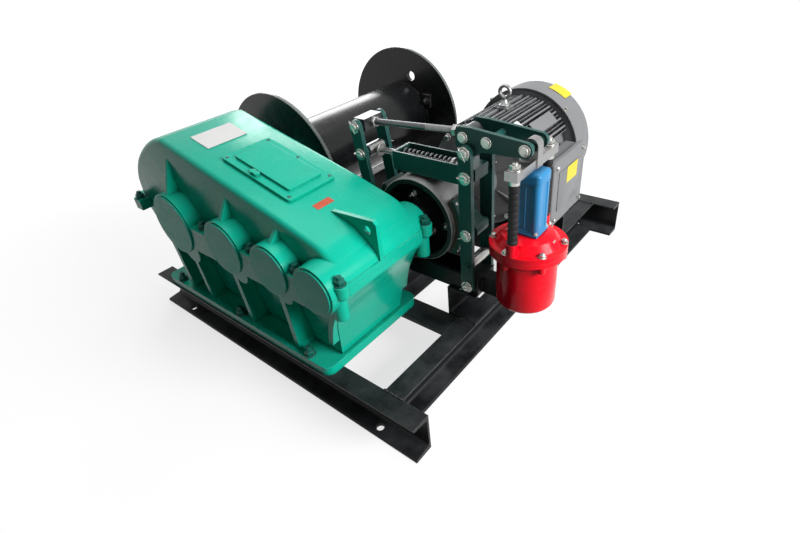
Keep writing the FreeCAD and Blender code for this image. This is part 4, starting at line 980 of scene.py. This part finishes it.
@dataclass
class FrameTrim:
    """Weld beads of the base frame and the nuts of the motor's feet."""

    pitch: float = 4.6 * MM
    size: float = 3.6 * MM
    margin: float = 2 * MM

    def build(self) -> None:
        """Lay the beads, then the nuts."""
        fit(self.beads(self.rail_seams() + self.seat_seams()), "frame_welds", "frame", Finish.WELD, 60)
        self.foot_nuts()

    def rail_seams(self) -> list[tuple[Vector, Vector]]:
        """Return the seams between the rails and the two long channels."""
        seams = []
        front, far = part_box("front_channel"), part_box("far_channel")
        for name in ("left_rail", "right_rail", "inner_rail"):
            low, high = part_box(name)
            web_x = high.x if name == "left_rail" else low.x
            for y, end in ((front[1].y, low.y), (far[0].y, high.y)):
                if abs(y - end) < 1 * MM:
                    seams.append((Vector((low.x, y, high.z)), Vector((high.x, y, high.z))))
                    seams.append((Vector((web_x, y, low.z + 4 * MM)), Vector((web_x, y, high.z))))
        low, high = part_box("cross_plate")
        seams.append((low, Vector((low.x, high.y, low.z))))
        return seams

    def seat_seams(self) -> list[tuple[Vector, Vector]]:
        """Return the seams along the feet of the motor's seats and the brake's risers."""
        inner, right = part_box("inner_rail"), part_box("right_rail")
        rows = []
        for name in ("motor_seat_front", "motor_seat_rear"):
            rows += [(name, rail[0].x, rail[1].x) for rail in (inner, right)]
        for name, rail in (("brake_riser_left", inner), ("brake_riser_right", right)):
            low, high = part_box(name)
            rows.append((name, max(low.x, rail[0].x), high.x))
        seams = []
        for name, start, end in rows:
            low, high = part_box(name)
            for y in (low.y, high.y):
                seams.append((Vector((start + self.margin, y, low.z)), Vector((end - self.margin, y, low.z))))
        return seams

    def beads(self, seams: Sequence[tuple[Vector, Vector]]) -> Shape:
        """Lay overlapping ripples along each seam."""
        deselect()
        bpy.ops.mesh.primitive_uv_sphere_add(segments=8, ring_count=5, radius=self.size)
        ripple = bpy.context.object
        places = []
        for start, end in seams:
            along = (end - start).normalized()
            count = max(int((end - start).length / self.pitch), 2)
            for i in range(count + 1):
                wobble = 1.0 + 0.16 * math.sin(i * 2.3 + start.x * 40)
                squeeze = Matrix.Diagonal((wobble, wobble, 0.85, 1.0))
                places.append(aim(start.lerp(end, i / count), along, 0.3) @ squeeze)
        return stamp(ripple, places)

    def foot_nuts(self) -> None:
        """Nuts on the bolts of the motor's feet."""
        low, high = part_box("motor_body")
        places = []
        for name, share in (("motor_seat_front", 0.62), ("motor_seat_rear", 0.38)):
            seat_low, seat_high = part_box(name)
            y = seat_low.y + (seat_high.y - seat_low.y) * share
            places += [aim(Vector((x, y, low.z + 14 * MM)), Z_AXIS, x * 9) for x in (low.x + 0.02, high.x - 0.02)]
        lay("motor_foot_nuts", hex_bolt(11, 9, 14, 7), places, Finish.DARK_BOLT)


@dataclass
class BrakeTrim:
    """Washers, split pins, nuts and fittings of the brake."""

    pin_radius: float = 8
    pin_end: float = 52 * MM
    plate_face: float = 45 * MM
    lever_face: float = 33 * MM
    eye: float = 17 * MM
    spacer_up: float = 53 * MM
    nut_circle: float = 56 * MM
    web_in: float = 32 * MM
    shoe_back: float = 116.2 * MM
    screw_out: float = 26 * MM

    def build(self) -> None:
        """Model and fit every part."""
        arm = centre("right_arm")
        self.y, self.right_x = arm.y, arm.x
        joints = {j["name"]: Vector(j["pos_m"]) for j in frame["joints"] if "pos_m" in j}
        self.left_foot, self.left_top = joints["left_arm_swing"], joints["tie_rod_swing"]
        self.fulcrum, self.foot = joints["lever_tilt"], joints["right_arm_swing"]
        self.axis = centre("brake_wheel")
        self.spring_z = centre("spring_rod").z
        self.pin_furniture()
        self.lever_pins()
        self.tie_rod_nuts()
        self.spring_fittings()
        self.coupling_nuts()
        self.lining_screws()

    def left_x(self, z: float) -> float:
        """X of the left arm's centre line at a height."""
        share = (z - self.left_foot.z) / (self.left_top.z - self.left_foot.z)
        return self.left_foot.x + share * (self.left_top.x - self.left_foot.x)

    def both_sides(self, spots: Points, out: float) -> list[Matrix]:
        """Return places that look outward, on both sides of the brake, at the given (x, z) spots."""
        return [aim(Vector((x, self.y + side * out, z)), Y_AXIS * side) for x, z in spots for side in (-1, 1)]

    def furnish(self, name: str, body: str, spots: Points, extra: float = 0.0) -> None:
        """Put a washer, a pin end and a split pin on both ends of the pins at the given (x, z) spots.

        Args:
            name: what the pieces' names start with.
            body: the body that they ride on.
            spots: (x, z) of each pin.
            extra: how much farther out they stand than on the arms.
        """
        face, end = self.plate_face + 0.4 * extra, self.pin_end + extra
        washers = self.both_sides(spots, face)
        pins = []
        for i, (x, z) in enumerate(spots):
            lean = math.radians(25 + 50 * ((i * 3) % 4))
            pins += [aim(Vector((x, self.y + side * (end - 2.2 * MM), z)), Vector((math.cos(lean), 0, math.sin(lean))))
                     for side in (-1, 1)]
        lay(name + "_washers", washer_plate(self.pin_radius * 1.7, self.pin_radius, 2.4), washers, body=body)
        length, radius = (end - face) / MM - 2.4, self.pin_radius
        head = turned(28, (0, radius + 1.3), (length - 1, radius + 1.3), (length + 0.4, radius * 0.9))
        lay(name + "_pin_ends", head, [place @ at((0, 0, 2.4 * MM)) for place in washers], body=body)
        lay(name + "_split_pins", split_pin(self.pin_radius + 2.2, 1.1), pins, body=body, angle=50)

    def pin_furniture(self) -> None:
        """Washers and split pins of the arms' pins and of the base's pivots, and the arms' spacer sleeves."""
        heights = [self.axis.z, self.spring_z]
        self.furnish("right_arm", "right_arm", [(self.right_x, z) for z in heights + [self.fulcrum.z]])
        self.furnish("left_arm", "left_arm",
                     [(self.left_x(z), z) for z in heights] + [(self.left_top.x, self.left_top.z)])
        low = self.foot.z + self.spacer_up
        for body, x in (("right_arm", self.right_x), ("left_arm", self.left_x(low))):
            sleeve = turned(28, (-34.8, 12), (-33.8, 12.8), (33.8, 12.8), (34.8, 12))
            lay(f"{body}_spacer", sleeve, [aim(Vector((x, self.y, low)), Y_AXIS)], body=body)
        self.furnish("pivot", "frame", [(self.foot.x, self.foot.z), (self.left_foot.x, self.left_foot.z)], 1 * MM)

    def lever_pins(self) -> None:
        """Washers and bright ends of the lever's three pins."""
        head = Vector((centre("crosshead").x, 0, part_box("crosshead")[1].z - 15 * MM))
        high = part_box("tie_rod")[1]
        tie = Vector((high.x - self.eye, 0, high.z - self.eye))
        spots = [(head.x, head.z), (tie.x, tie.z), (self.fulcrum.x + 42 * MM, (tie.z + head.z) / 2)]
        places = self.both_sides(spots, self.lever_face)
        lay("lever_washers", washer_plate(11.5, self.pin_radius, 1.2), places, body="lever")
        end = turned(28, (0, 8.6), (3.4, 8.6), (4.4, 7.6))
        lay("lever_pin_ends", end, [place @ at((0, 0, 0.8 * MM)) for place in places], body="lever")

    def tie_rod_nuts(self) -> None:
        """Lock nuts at both ends of the tie rod, and the thread at its right end."""
        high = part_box("tie_rod")[1]
        left = Vector((self.left_top.x, self.y, self.left_top.z))
        right = Vector((high.x - self.eye, self.y, high.z - self.eye))
        along = (right - left).normalized()
        spots = (left + along * 18 * MM, right - along * 30 * MM, right - along * 42 * MM)
        lay("tie_rod_nuts", hex_bolt(12.5, 9), [aim(p, along, 0.2 + i) for i, p in enumerate(spots)],
            Finish.STEEL, "tie_rod")
        fit(thread(right - along * 110 * MM, right - along * 18 * MM, 7 * MM), "tie_rod_thread", "tie_rod",
            Finish.STEEL, 20)

    def spring_fittings(self) -> None:
        """Nut on the pull rod's right end, and the collar by the left arm."""
        rod_end = Vector((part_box("spring_rod")[1].x - 2 * MM, self.y, self.spring_z))
        lay("spring_nut", hex_bolt(10.5, 8, 0.0, 3), [aim(rod_end, X_AXIS)], body="left_arm")
        collar = Vector((self.left_x(self.spring_z) + 22 * MM, self.y, self.spring_z))
        lay("pull_rod_collar", turned(24, (0, 15), (3, 15), (4, 14)), [aim(collar, X_AXIS)], body="left_arm")

    def coupling_nuts(self) -> None:
        """Ring of coupling nuts inside the wheel's cup."""
        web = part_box("brake_wheel")[1].y - self.web_in
        places = row(circle_y(self.axis, self.nut_circle, 6, 30, web), -Y_AXIS)
        lay("coupling_nuts", hex_bolt(10, 8, 13, 6), places, body="input_line")

    def lining_screws(self) -> None:
        """Screws that hold the linings to the shoes."""
        for side, body in ((-1, "left_arm"), (1, "right_arm")):
            places = []
            for degrees in (-30, 0, 30):
                angle = math.radians(degrees)
                out = Vector((side * math.cos(angle), 0, math.sin(angle)))
                places += [aim(Vector((self.axis.x, self.y + y, self.axis.z)) + out * self.shoe_back, out)
                           for y in (-self.screw_out, self.screw_out)]
            lay(f"lining_screws_{body}", socket_screw(4, 3), places, body=body)


@dataclass
class ThrusterTrim:
    """Sleeves, lugs, bolts and panels of the thruster."""

    rod_out: float = 66 * MM
    bar_height: float = 55 * MM
    folds: int = 9
    lid_bolt_circle: float = 70 * MM
    lid_step: float = 12 * MM
    rim_drop: float = 8 * MM
    corner: float = 8 * MM

    def build(self) -> None:
        """Model and fit every part."""
        low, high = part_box("thruster_lid")
        self.axis = centre("thruster_lid")
        self.lid_top = low.z + self.lid_step
        self.socket_top = high.z
        self.rim_low = low.z - self.rim_drop
        self.sleeves()
        self.lid_bolts()
        self.tank_bowl()
        self.motor_panels()

    def sleeve(self, length: float) -> Shape:
        """Folded rubber sleeve that stands at the origin."""
        rise = (length - 12 * MM) / self.folds
        steps = [(0.0, 10.5 * MM), (5 * MM, 10.5 * MM)]
        for i in range(self.folds):
            z = 6 * MM + rise * i
            steps += [(z + rise * 0.15, 8.6 * MM), (z + rise * 0.5, 10.2 * MM), (z + rise * 0.85, 10.2 * MM)]
        return stepped(steps + [(length - 4 * MM, 9.4 * MM), (length, 9.4 * MM)], 20)

    def sleeves(self) -> None:
        """Rubber sleeves on the push rods, with their caps and nuts."""
        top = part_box("crosshead")[1].z - self.bar_height
        for name, side in (("near", -1), ("far", 1)):
            base = Vector((self.axis.x, self.axis.y + side * self.rod_out, self.socket_top))
            length = top - 9 * MM - base.z
            sleeve = move(self.sleeve(length), at(base))
            settle(sleeve, f"{name}_sleeve", 25)
            dress(sleeve, Finish.RUBBER)
            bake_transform(sleeve)
            LOG.info("piece %s between frame and crosshead", sleeve.name)
            cap = turned(24, (0, 10.6), (7, 10.6), (8.6, 9.6))
            lay(f"{name}_sleeve_cap", cap, [at((base.x, base.y, top - 9.4 * MM))], body="crosshead")
            lay(f"{name}_push_rod_nut", hex_bolt(10, 8, 12, 4),
                [aim(Vector((base.x, base.y, top + 18 * MM)), Z_AXIS, side)], body="crosshead")

    def lid_bolts(self) -> None:
        """Bolts round the lid, and the cast lugs that take them under the rim."""
        ring_spots = [self.axis + self.lid_bolt_circle * Vector((math.cos(a), math.sin(a), 0))
                      for a in (math.radians(60 * i + 20) for i in range(6))]
        lay("lid_bolts", hex_bolt(6.5, 5.5, 8, 2), row([Vector((*p.xy, self.lid_top)) for p in ring_spots], Z_AXIS))
        lugs = [at((*p.xy, self.rim_low - 18 * MM)) for p in ring_spots]
        lay("tank_lugs", turned(18, (0, 4.5), (3, 7.2), (18.5, 7.8)), lugs, Finish.TANK, angle=35)

    def tank_bowl(self) -> None:
        """Rounded bottom and cast ring of the tank, and the filler plug on the lid."""
        low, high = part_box("thruster_tank")
        band = move(ring(62 * MM, 1.6 * MM, 56, 8), at((*self.axis.xy, high.z - 24 * MM)))
        bowl = turned(72, (-10, 50), (-9.4, 54), (-7, 58), (-3.5, 60.8), (1, 62.2), (60, 62.3))
        fit(joined([band, move(bowl, at((*self.axis.xy, low.z)))]), "tank_bowl", "frame", Finish.TANK)
        spot = Vector((self.axis.x + 0.05, self.axis.y, self.lid_top + 4.5 * MM))
        lay("filler_plug", hex_bolt(8, 7, 10), [aim(spot, Z_AXIS)])

    def motor_panels(self) -> None:
        """Flange, panelled case, ribs, rounded cap and corner screws of the thruster's own motor."""
        low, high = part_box("thruster_motor")

        def around(out: float, bottom: float, top: float, bevel: float = 0.0) -> Shape:
            """Block that stands out from the motor's sides between two heights."""
            return block((low.x - out, low.y - out, bottom), (high.x + out, high.y + out, top), bevel)

        base = around(4 * MM, low.z, low.z + 7 * MM, 2 * MM)
        case = around(2.4 * MM, low.z + 6 * MM, high.z - 16 * MM)
        round_edges(case, lambda c, d: abs(d.z) > 0.9, self.corner - 0.4 * MM, 5)
        edit(case, lambda c, n: max(abs(n.x), abs(n.y)) > 0.999,
             lambda: bpy.ops.mesh.inset(thickness=4 * MM, depth=0.0, use_individual=True),
             lambda: bpy.ops.mesh.inset(thickness=1.2 * MM, depth=-2.1 * MM, use_individual=True))
        bevel_all(case, 1.0 * MM, 2, 50)
        cap = around(3.2 * MM, high.z - 17 * MM, high.z + 3 * MM)
        round_edges(cap, lambda c, d: abs(d.z) > 0.9, self.corner, 5)
        round_edges(cap, lambda c, d: c.z > high.z + 2.9 * MM and abs(d.z) < 0.1, 7 * MM, 4)
        ribs = [block((x, low.y - 2.2 * MM, low.z + 14 * MM), (x + 2.5 * MM, high.y + 2.2 * MM, high.z - 24 * MM),
                      0.8 * MM, 1) for x in (low.x + (12 + 14 * k) * MM for k in range(3))]
        fit(joined([base, case, cap] + ribs), "blue_motor_case", "frame", Finish.BLUE, 30)
        screws = [aim(Vector((x, y, low.z + 7 * MM)), Z_AXIS, x * 40)
                  for x in (low.x + 1 * MM, high.x - 1 * MM) for y in (low.y + 1 * MM, high.y - 1 * MM)]
        lay("blue_motor_screws", hex_bolt(4, 3.6, 5), screws)


@dataclass
class MotorTrim:
    """Shield bolts, cowl details, thin fins, plates and screws of the drive motor."""

    shield_circle: float = 126 * MM
    fin_radius: float = 140 * MM
    fin_pitch: float = 9.0
    fin_range: tuple[int, int] = (-12, 8)
    grille_hoops: int = 8
    hoop_first: float = 20 * MM
    hoop_pitch: float = 13.5 * MM
    inlet: float = 116
    lid_screw_in: float = 16 * MM
    entry_out: float = 24.2 * MM
    # two corners (y, z) of the patch on the terminal box's wall
    patch: tuple = ((0.168, 0.312), (0.228, 0.356))
    # (name, degrees, half of its arc, start and end past the body's front, thickness, finish)
    body_strips: tuple = (("fin_rail", 47, 7, (0.09, 0.2), 3.2 * MM, Finish.MOTOR),
                          ("motor_plate", 51, 13, (0.006, 0.07), 1.6 * MM, Finish.PLATE))

    def build(self) -> None:
        """Model and fit every part."""
        self.cowl_low, self.cowl_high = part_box("fan_cowl")
        self.axis = centre("fan_cowl")
        self.axis.y = 0
        self.cowl_radius = (self.cowl_high.x - self.cowl_low.x) / 2
        self.shield_bolts()
        self.cowl_screws()
        self.cowl_grille()
        self.plates()
        self.terminal_box()
        self.thin_fins()
        self.lifting_eye()

    def shield_bolts(self) -> None:
        """Bolts round the front end shield and radial ribs on its face."""
        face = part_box("motor_end_shield")[0].y
        spots = circle_y(self.axis, self.shield_circle, 4, 45, face + 16 * MM)
        lay("shield_bolts", hex_bolt(8, 7, 10), row(spots, -Y_AXIS))
        rib = block((58 * MM, -3 * MM, 0), (122 * MM, 3 * MM, 7 * MM), 1.5 * MM)
        edit(rib, lambda c, n: n.x < -0.9, lambda: bpy.ops.transform.translate(value=(0, 0, 3 * MM)))
        middle = at((self.axis.x, face + 15 * MM, self.axis.z))
        upright = spin(90, "X")
        turns = [middle @ spin(45 * i + 22.5, "Y") @ upright for i in range(8)]
        lay("shield_ribs", rib, turns, Finish.SHIELD, angle=35)

    def cowl_screws(self) -> None:
        """Screws with washers that hold the cowl to the body."""
        y = self.cowl_low.y + 12 * MM
        places = [aim(round_y(self.axis, self.cowl_radius - 0.5 * MM, a, y), round_y(self.axis, 1.0, a, 0) - self.axis)
                  for a in (45, 135, 225, 315)]
        lay("cowl_screws", hex_bolt(5.5, 4.5, 8), places)

    def cowl_grille(self) -> None:
        """Air inlet in the cowl's rear face: rings and spokes over a thin black disc that paints the shade of the
        recess.
        """
        def rear(out: float) -> Matrix:
            """Place on the axis that looks backward, at a distance from the cowl's rear face."""
            return aim(Vector((self.axis.x, self.cowl_high.y + out, self.axis.z)), Y_AXIS)

        # Painted shade: a thin black disc where the recess behind the grille would lie in shade.
        lay("cowl_inlet_shade", turned(64, (0, self.inlet), (0.4, self.inlet)), [rear(0.05 * MM)], Finish.GRILLE, angle=35)
        parts = []
        for k in range(self.grille_hoops):
            parts.append(move(ring(self.hoop_first + self.hoop_pitch * k, 2.3 * MM, 48, 6), rear(1.4 * MM)))
        middle = at((self.axis.x, self.cowl_high.y + 0.2 * MM, self.axis.z))
        for i in range(6):
            spoke = block((10 * MM, -2.4 * MM, 0), (0.118, 2.4 * MM, 3 * MM), 0.8 * MM, 1)
            parts.append(move(spoke, middle, spin(60 * i, "Y"), spin(-90, "X")))
        parts.append(move(turned(32, (0, 24), (3.4, 23), (4.2, 20)), rear(0.2 * MM)))
        fit(joined(parts), "cowl_grille", "frame", Finish.MOTOR)

    def plates(self) -> None:
        """Flat rail and blank rating plate over the fins, blank patches on the cowl and the terminal box."""
        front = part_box("motor_body")[0].y
        for name, degrees, half, (start, end), thickness, finish in self.body_strips:
            strip = self.strip(self.fin_radius + 0.6 * MM, degrees, half, (front + start, front + end), thickness)
            fit(strip, name, "frame", finish)
        upper = self.strip(self.cowl_radius - 0.2 * MM, 64, 10, (self.cowl_low.y + 0.046, self.cowl_low.y + 0.088),
                           0.5 * MM)
        fit(upper, "cowl_patch", "frame", Finish.YELLOW)
        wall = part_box("terminal_box")[1].x
        side = block((wall + 1.7 * MM, *self.patch[0]), (wall + 2.3 * MM, *self.patch[1]), 0.2 * MM, 1)
        fit(side, "terminal_patch", "frame", Finish.YELLOW)

    def strip(self, radius: float, degrees: float, half: float, y: tuple[float, float], thickness: float) -> Shape:
        """Thin plate bent round the motor's axis.

        Args:
            radius: inner radius.
            degrees: direction of its middle.
            half: half of the angle that it covers.
            y: its two ends along the axis.
            thickness: how far it stands out.
        Returns:
            The plate in place.
        """
        deselect()
        bpy.ops.mesh.primitive_cylinder_add(vertices=180, radius=radius + thickness, depth=y[1] - y[0],
                                            location=(self.axis.x, (y[0] + y[1]) / 2, self.axis.z),
                                            rotation=(math.pi / 2, 0, 0), end_fill_type="NOTHING")
        obj = bpy.context.object
        bpy.ops.object.transform_apply(location=True, rotation=True, scale=True)

        def outside(middle: Vector, normal: Vector) -> bool:
            """True for a wall face beyond the strip's arc."""
            angle = math.degrees(math.atan2(middle.z - self.axis.z, middle.x - self.axis.x))
            return abs((angle - degrees + 180) % 360 - 180) > half

        edit(obj, outside, lambda: bpy.ops.mesh.delete(type="FACE"))
        pick(obj)
        modifier = obj.modifiers.new("thickness", "SOLIDIFY")
        modifier.thickness, modifier.offset = thickness, -1.0
        bpy.ops.object.modifier_apply(modifier=modifier.name)
        return obj

    def terminal_box(self) -> None:
        """Four screws and the raised panel of the terminal box's lid, and the two cable entries under it."""
        low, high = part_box("terminal_box")
        inset = self.lid_screw_in
        places = [aim(Vector((high.x, y, z)), X_AXIS, y * 30) for y in (low.y + inset, high.y - inset)
                  for z in (low.z + inset, high.z - inset)]
        lay("terminal_screws", hex_bolt(5.5, 4, 7), places)
        panel = block((high.x - 1 * MM, low.y + 0.03, low.z + 0.034),
                      (high.x + 1.8 * MM, high.y - 0.03, high.z - 0.034), 1.5 * MM)
        fit(panel, "terminal_lid_panel", "frame", Finish.MOTOR)
        middle = centre("terminal_box")
        spots = [Vector((middle.x - 4 * MM, middle.y + y, low.z + 6.2 * MM)) for y in (-self.entry_out, self.entry_out)]
        gland = turned(18, (0, 13), (5, 13), (5.5, 11), (14, 10.5), (18, 8.5))
        lay("cable_entries", gland, [aim(spot, -Z_AXIS) for spot in spots], Finish.GRILLE)

    def thin_fins(self) -> None:
        """Thin cooling fins half-way between the thick ones of the solid, from the box over to the drum's side."""
        low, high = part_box("motor_body")
        top = self.fin_radius - 0.8 * MM
        fin = block((-1.3 * MM, low.y + 13 * MM, self.fin_radius - 25 * MM), (1.3 * MM, high.y - 7 * MM, top))
        edit(fin, lambda c, n: n.z > 0.9,
             lambda: bpy.ops.transform.resize(value=(0.6, 1, 1), center_override=(0, 0, top)))
        bevel_all(fin, 0.4 * MM, 1)
        middle = at(self.axis)
        turns = [middle @ spin(self.fin_pitch * k, "Y") for k in range(*self.fin_range) if k != 0]
        lay("thin_fins", fin, turns, Finish.MOTOR)

    def lifting_eye(self) -> None:
        """Forged lifting eye with its collar, in place of the plain ring."""
        foot = centre("eye_bolt")
        foot.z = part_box("eye_bolt")[0].z
        collar = turned(28, (0, 14), (5, 14), (7, 12), (12, 8), (19, 6.5), (23, 7))
        eye = move(ring(14.5 * MM, 4.8 * MM, 40, 12), at(foot + Z_AXIS * 37 * MM), spin(90, "X"))
        piece = fit(joined([move(collar, at(foot)), eye]), "lifting_eye", "frame", Finish.STEEL, 40)
        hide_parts("eye_bolt")


# ------------------------------------------------------------------ studio
@dataclass
class Studio:
    """Pale floor, soft lamps, white surroundings and the camera."""

    camera_place: tuple[float, float, float] = (0.8547, -0.9663, 0.8952)
    heading: float = 133.0305
    pitch: float = 34.3101
    roll: float = -6.544
    lens: float = 36.0 * 500.88 / 800.0
    shift: tuple[float, float] = (-0.00146, -0.00041)
    sky: float = 0.055
    floor_glow: tuple[float, float] = (0.72, 1.0)
    floor_colour: tuple[float, float] = (0.075, 0.32)
    # (name, place, aim, width, height, watts)
    lamps: tuple = field(default_factory=lambda: (
        ("key", (2.4, 0.05, 1.35), (0.0, 0.0, 0.3), 1.5, 0.9, 92.0),
        ("top", (-0.2, 0.3, 2.7), (0.0, 0.0, 0.3), 2.0, 1.6, 33.0),
        ("fill", (0.9, -2.4, 1.2), (0.1, -0.2, 0.3), 1.4, 1.0, 0.5),
        ("back", (-2.2, 1.9, 1.5), (0.0, 0.0, 0.4), 1.6, 1.2, 36.0)))

    def build(self) -> None:
        """Set up floor, lamps, world and camera."""
        self.floor()
        for lamp in self.lamps:
            self.lamp(*lamp)
        self.world()
        self.camera()
        bpy.context.scene.view_settings.view_transform = "Standard"

    @staticmethod
    def seen(sheet: Sheet) -> Socket:
        """Return 1 for rays from the camera, from glossy faces and through glass."""
        path = sheet.node("ShaderNodeLightPath")
        rays = sheet.maths("MAXIMUM", path.outputs["Is Camera Ray"], path.outputs["Is Glossy Ray"])
        return sheet.maths("MAXIMUM", rays, path.outputs["Is Transmission Ray"])

    def floor(self) -> None:
        """Wide pale floor that keeps the object's shadow."""
        deselect()
        bpy.ops.mesh.primitive_plane_add(size=40.0, location=(0, 0, -0.0005))
        plane = bpy.context.object
        plane.name = "studio_floor"
        material, sheet, shader = open_material("studio_floor")
        seen = self.seen(sheet)
        away = sheet.vector("LENGTH", {0: sheet.place()}, "Value")
        glow = sheet.maths("MULTIPLY", seen, sheet.ramp(away, 0.9, 3.2, self.floor_glow))
        sheet.feed(shader, {"Base Color": sheet.ramp(seen, 0.0, 1.0, self.floor_colour), "Roughness": 0.9,
                            "Specular IOR Level": 0.1, "Emission Color": (1, 1, 1, 1), "Emission Strength": glow})
        plane.data.materials.append(material)

    @staticmethod
    def lamp(name: str, place: tuple, target: tuple, width: float, height: float, watts: float) -> None:
        """Add a soft rectangular lamp that looks at a point."""
        data = bpy.data.lights.new(name, "AREA")
        data.shape, data.size, data.size_y, data.energy = "RECTANGLE", width, height, watts
        lamp = bpy.data.objects.new(name, data)
        lamp.location = place
        lamp.rotation_euler = (Vector(target) - Vector(place)).to_track_quat("-Z", "Y").to_euler()
        bpy.context.scene.collection.objects.link(lamp)

    def world(self) -> None:
        """White where it is seen, softer where it lights."""
        world = bpy.data.worlds.new("studio")
        world.use_nodes = True
        bpy.context.scene.world = world
        sheet = Sheet(world.node_tree)
        strength = sheet.ramp(self.seen(sheet), 0.0, 1.0, (self.sky, 1.0))
        sheet.feed(world.node_tree.nodes["Background"], {"Color": (1, 1, 1, 1), "Strength": strength})

    def camera(self) -> None:
        """Place the camera by heading, pitch and roll."""
        yaw, pitch, roll = (math.radians(a) for a in (self.heading, self.pitch, self.roll))
        look = Vector((math.cos(pitch) * math.cos(yaw), math.cos(pitch) * math.sin(yaw), -math.sin(pitch)))
        right = look.cross(Z_AXIS).normalized()
        up = right.cross(look)
        turned_right = right * math.cos(roll) + up * math.sin(roll)
        turned_up = up * math.cos(roll) - right * math.sin(roll)
        data = bpy.data.cameras.new("camera")
        data.lens, data.sensor_width = self.lens, 36.0
        data.shift_x, data.shift_y = self.shift
        data.clip_start = 0.02
        camera = bpy.data.objects.new("camera", data)
        matrix = Matrix((turned_right, turned_up, -look)).transposed().to_4x4()
        matrix.translation = Vector(self.camera_place)
        camera.matrix_world = matrix
        bpy.context.scene.collection.objects.link(camera)
        bpy.context.scene.camera = camera


def main() -> None:
    """Dress the CAD nodes, build every sub-assembly and set up the studio."""
    logging.basicConfig(level=logging.INFO, format="%(message)s")
    dress_cad_nodes()
    for trim in (FrameTrim(), CaseShell(), GearCaseTrim(), DrumTrim(), BrakeTrim(), ThrusterTrim(), MotorTrim()):
        LOG.info("building %s", type(trim).__name__)
        trim.build()
    Studio().build()


if __name__ == "__main__":
    main()
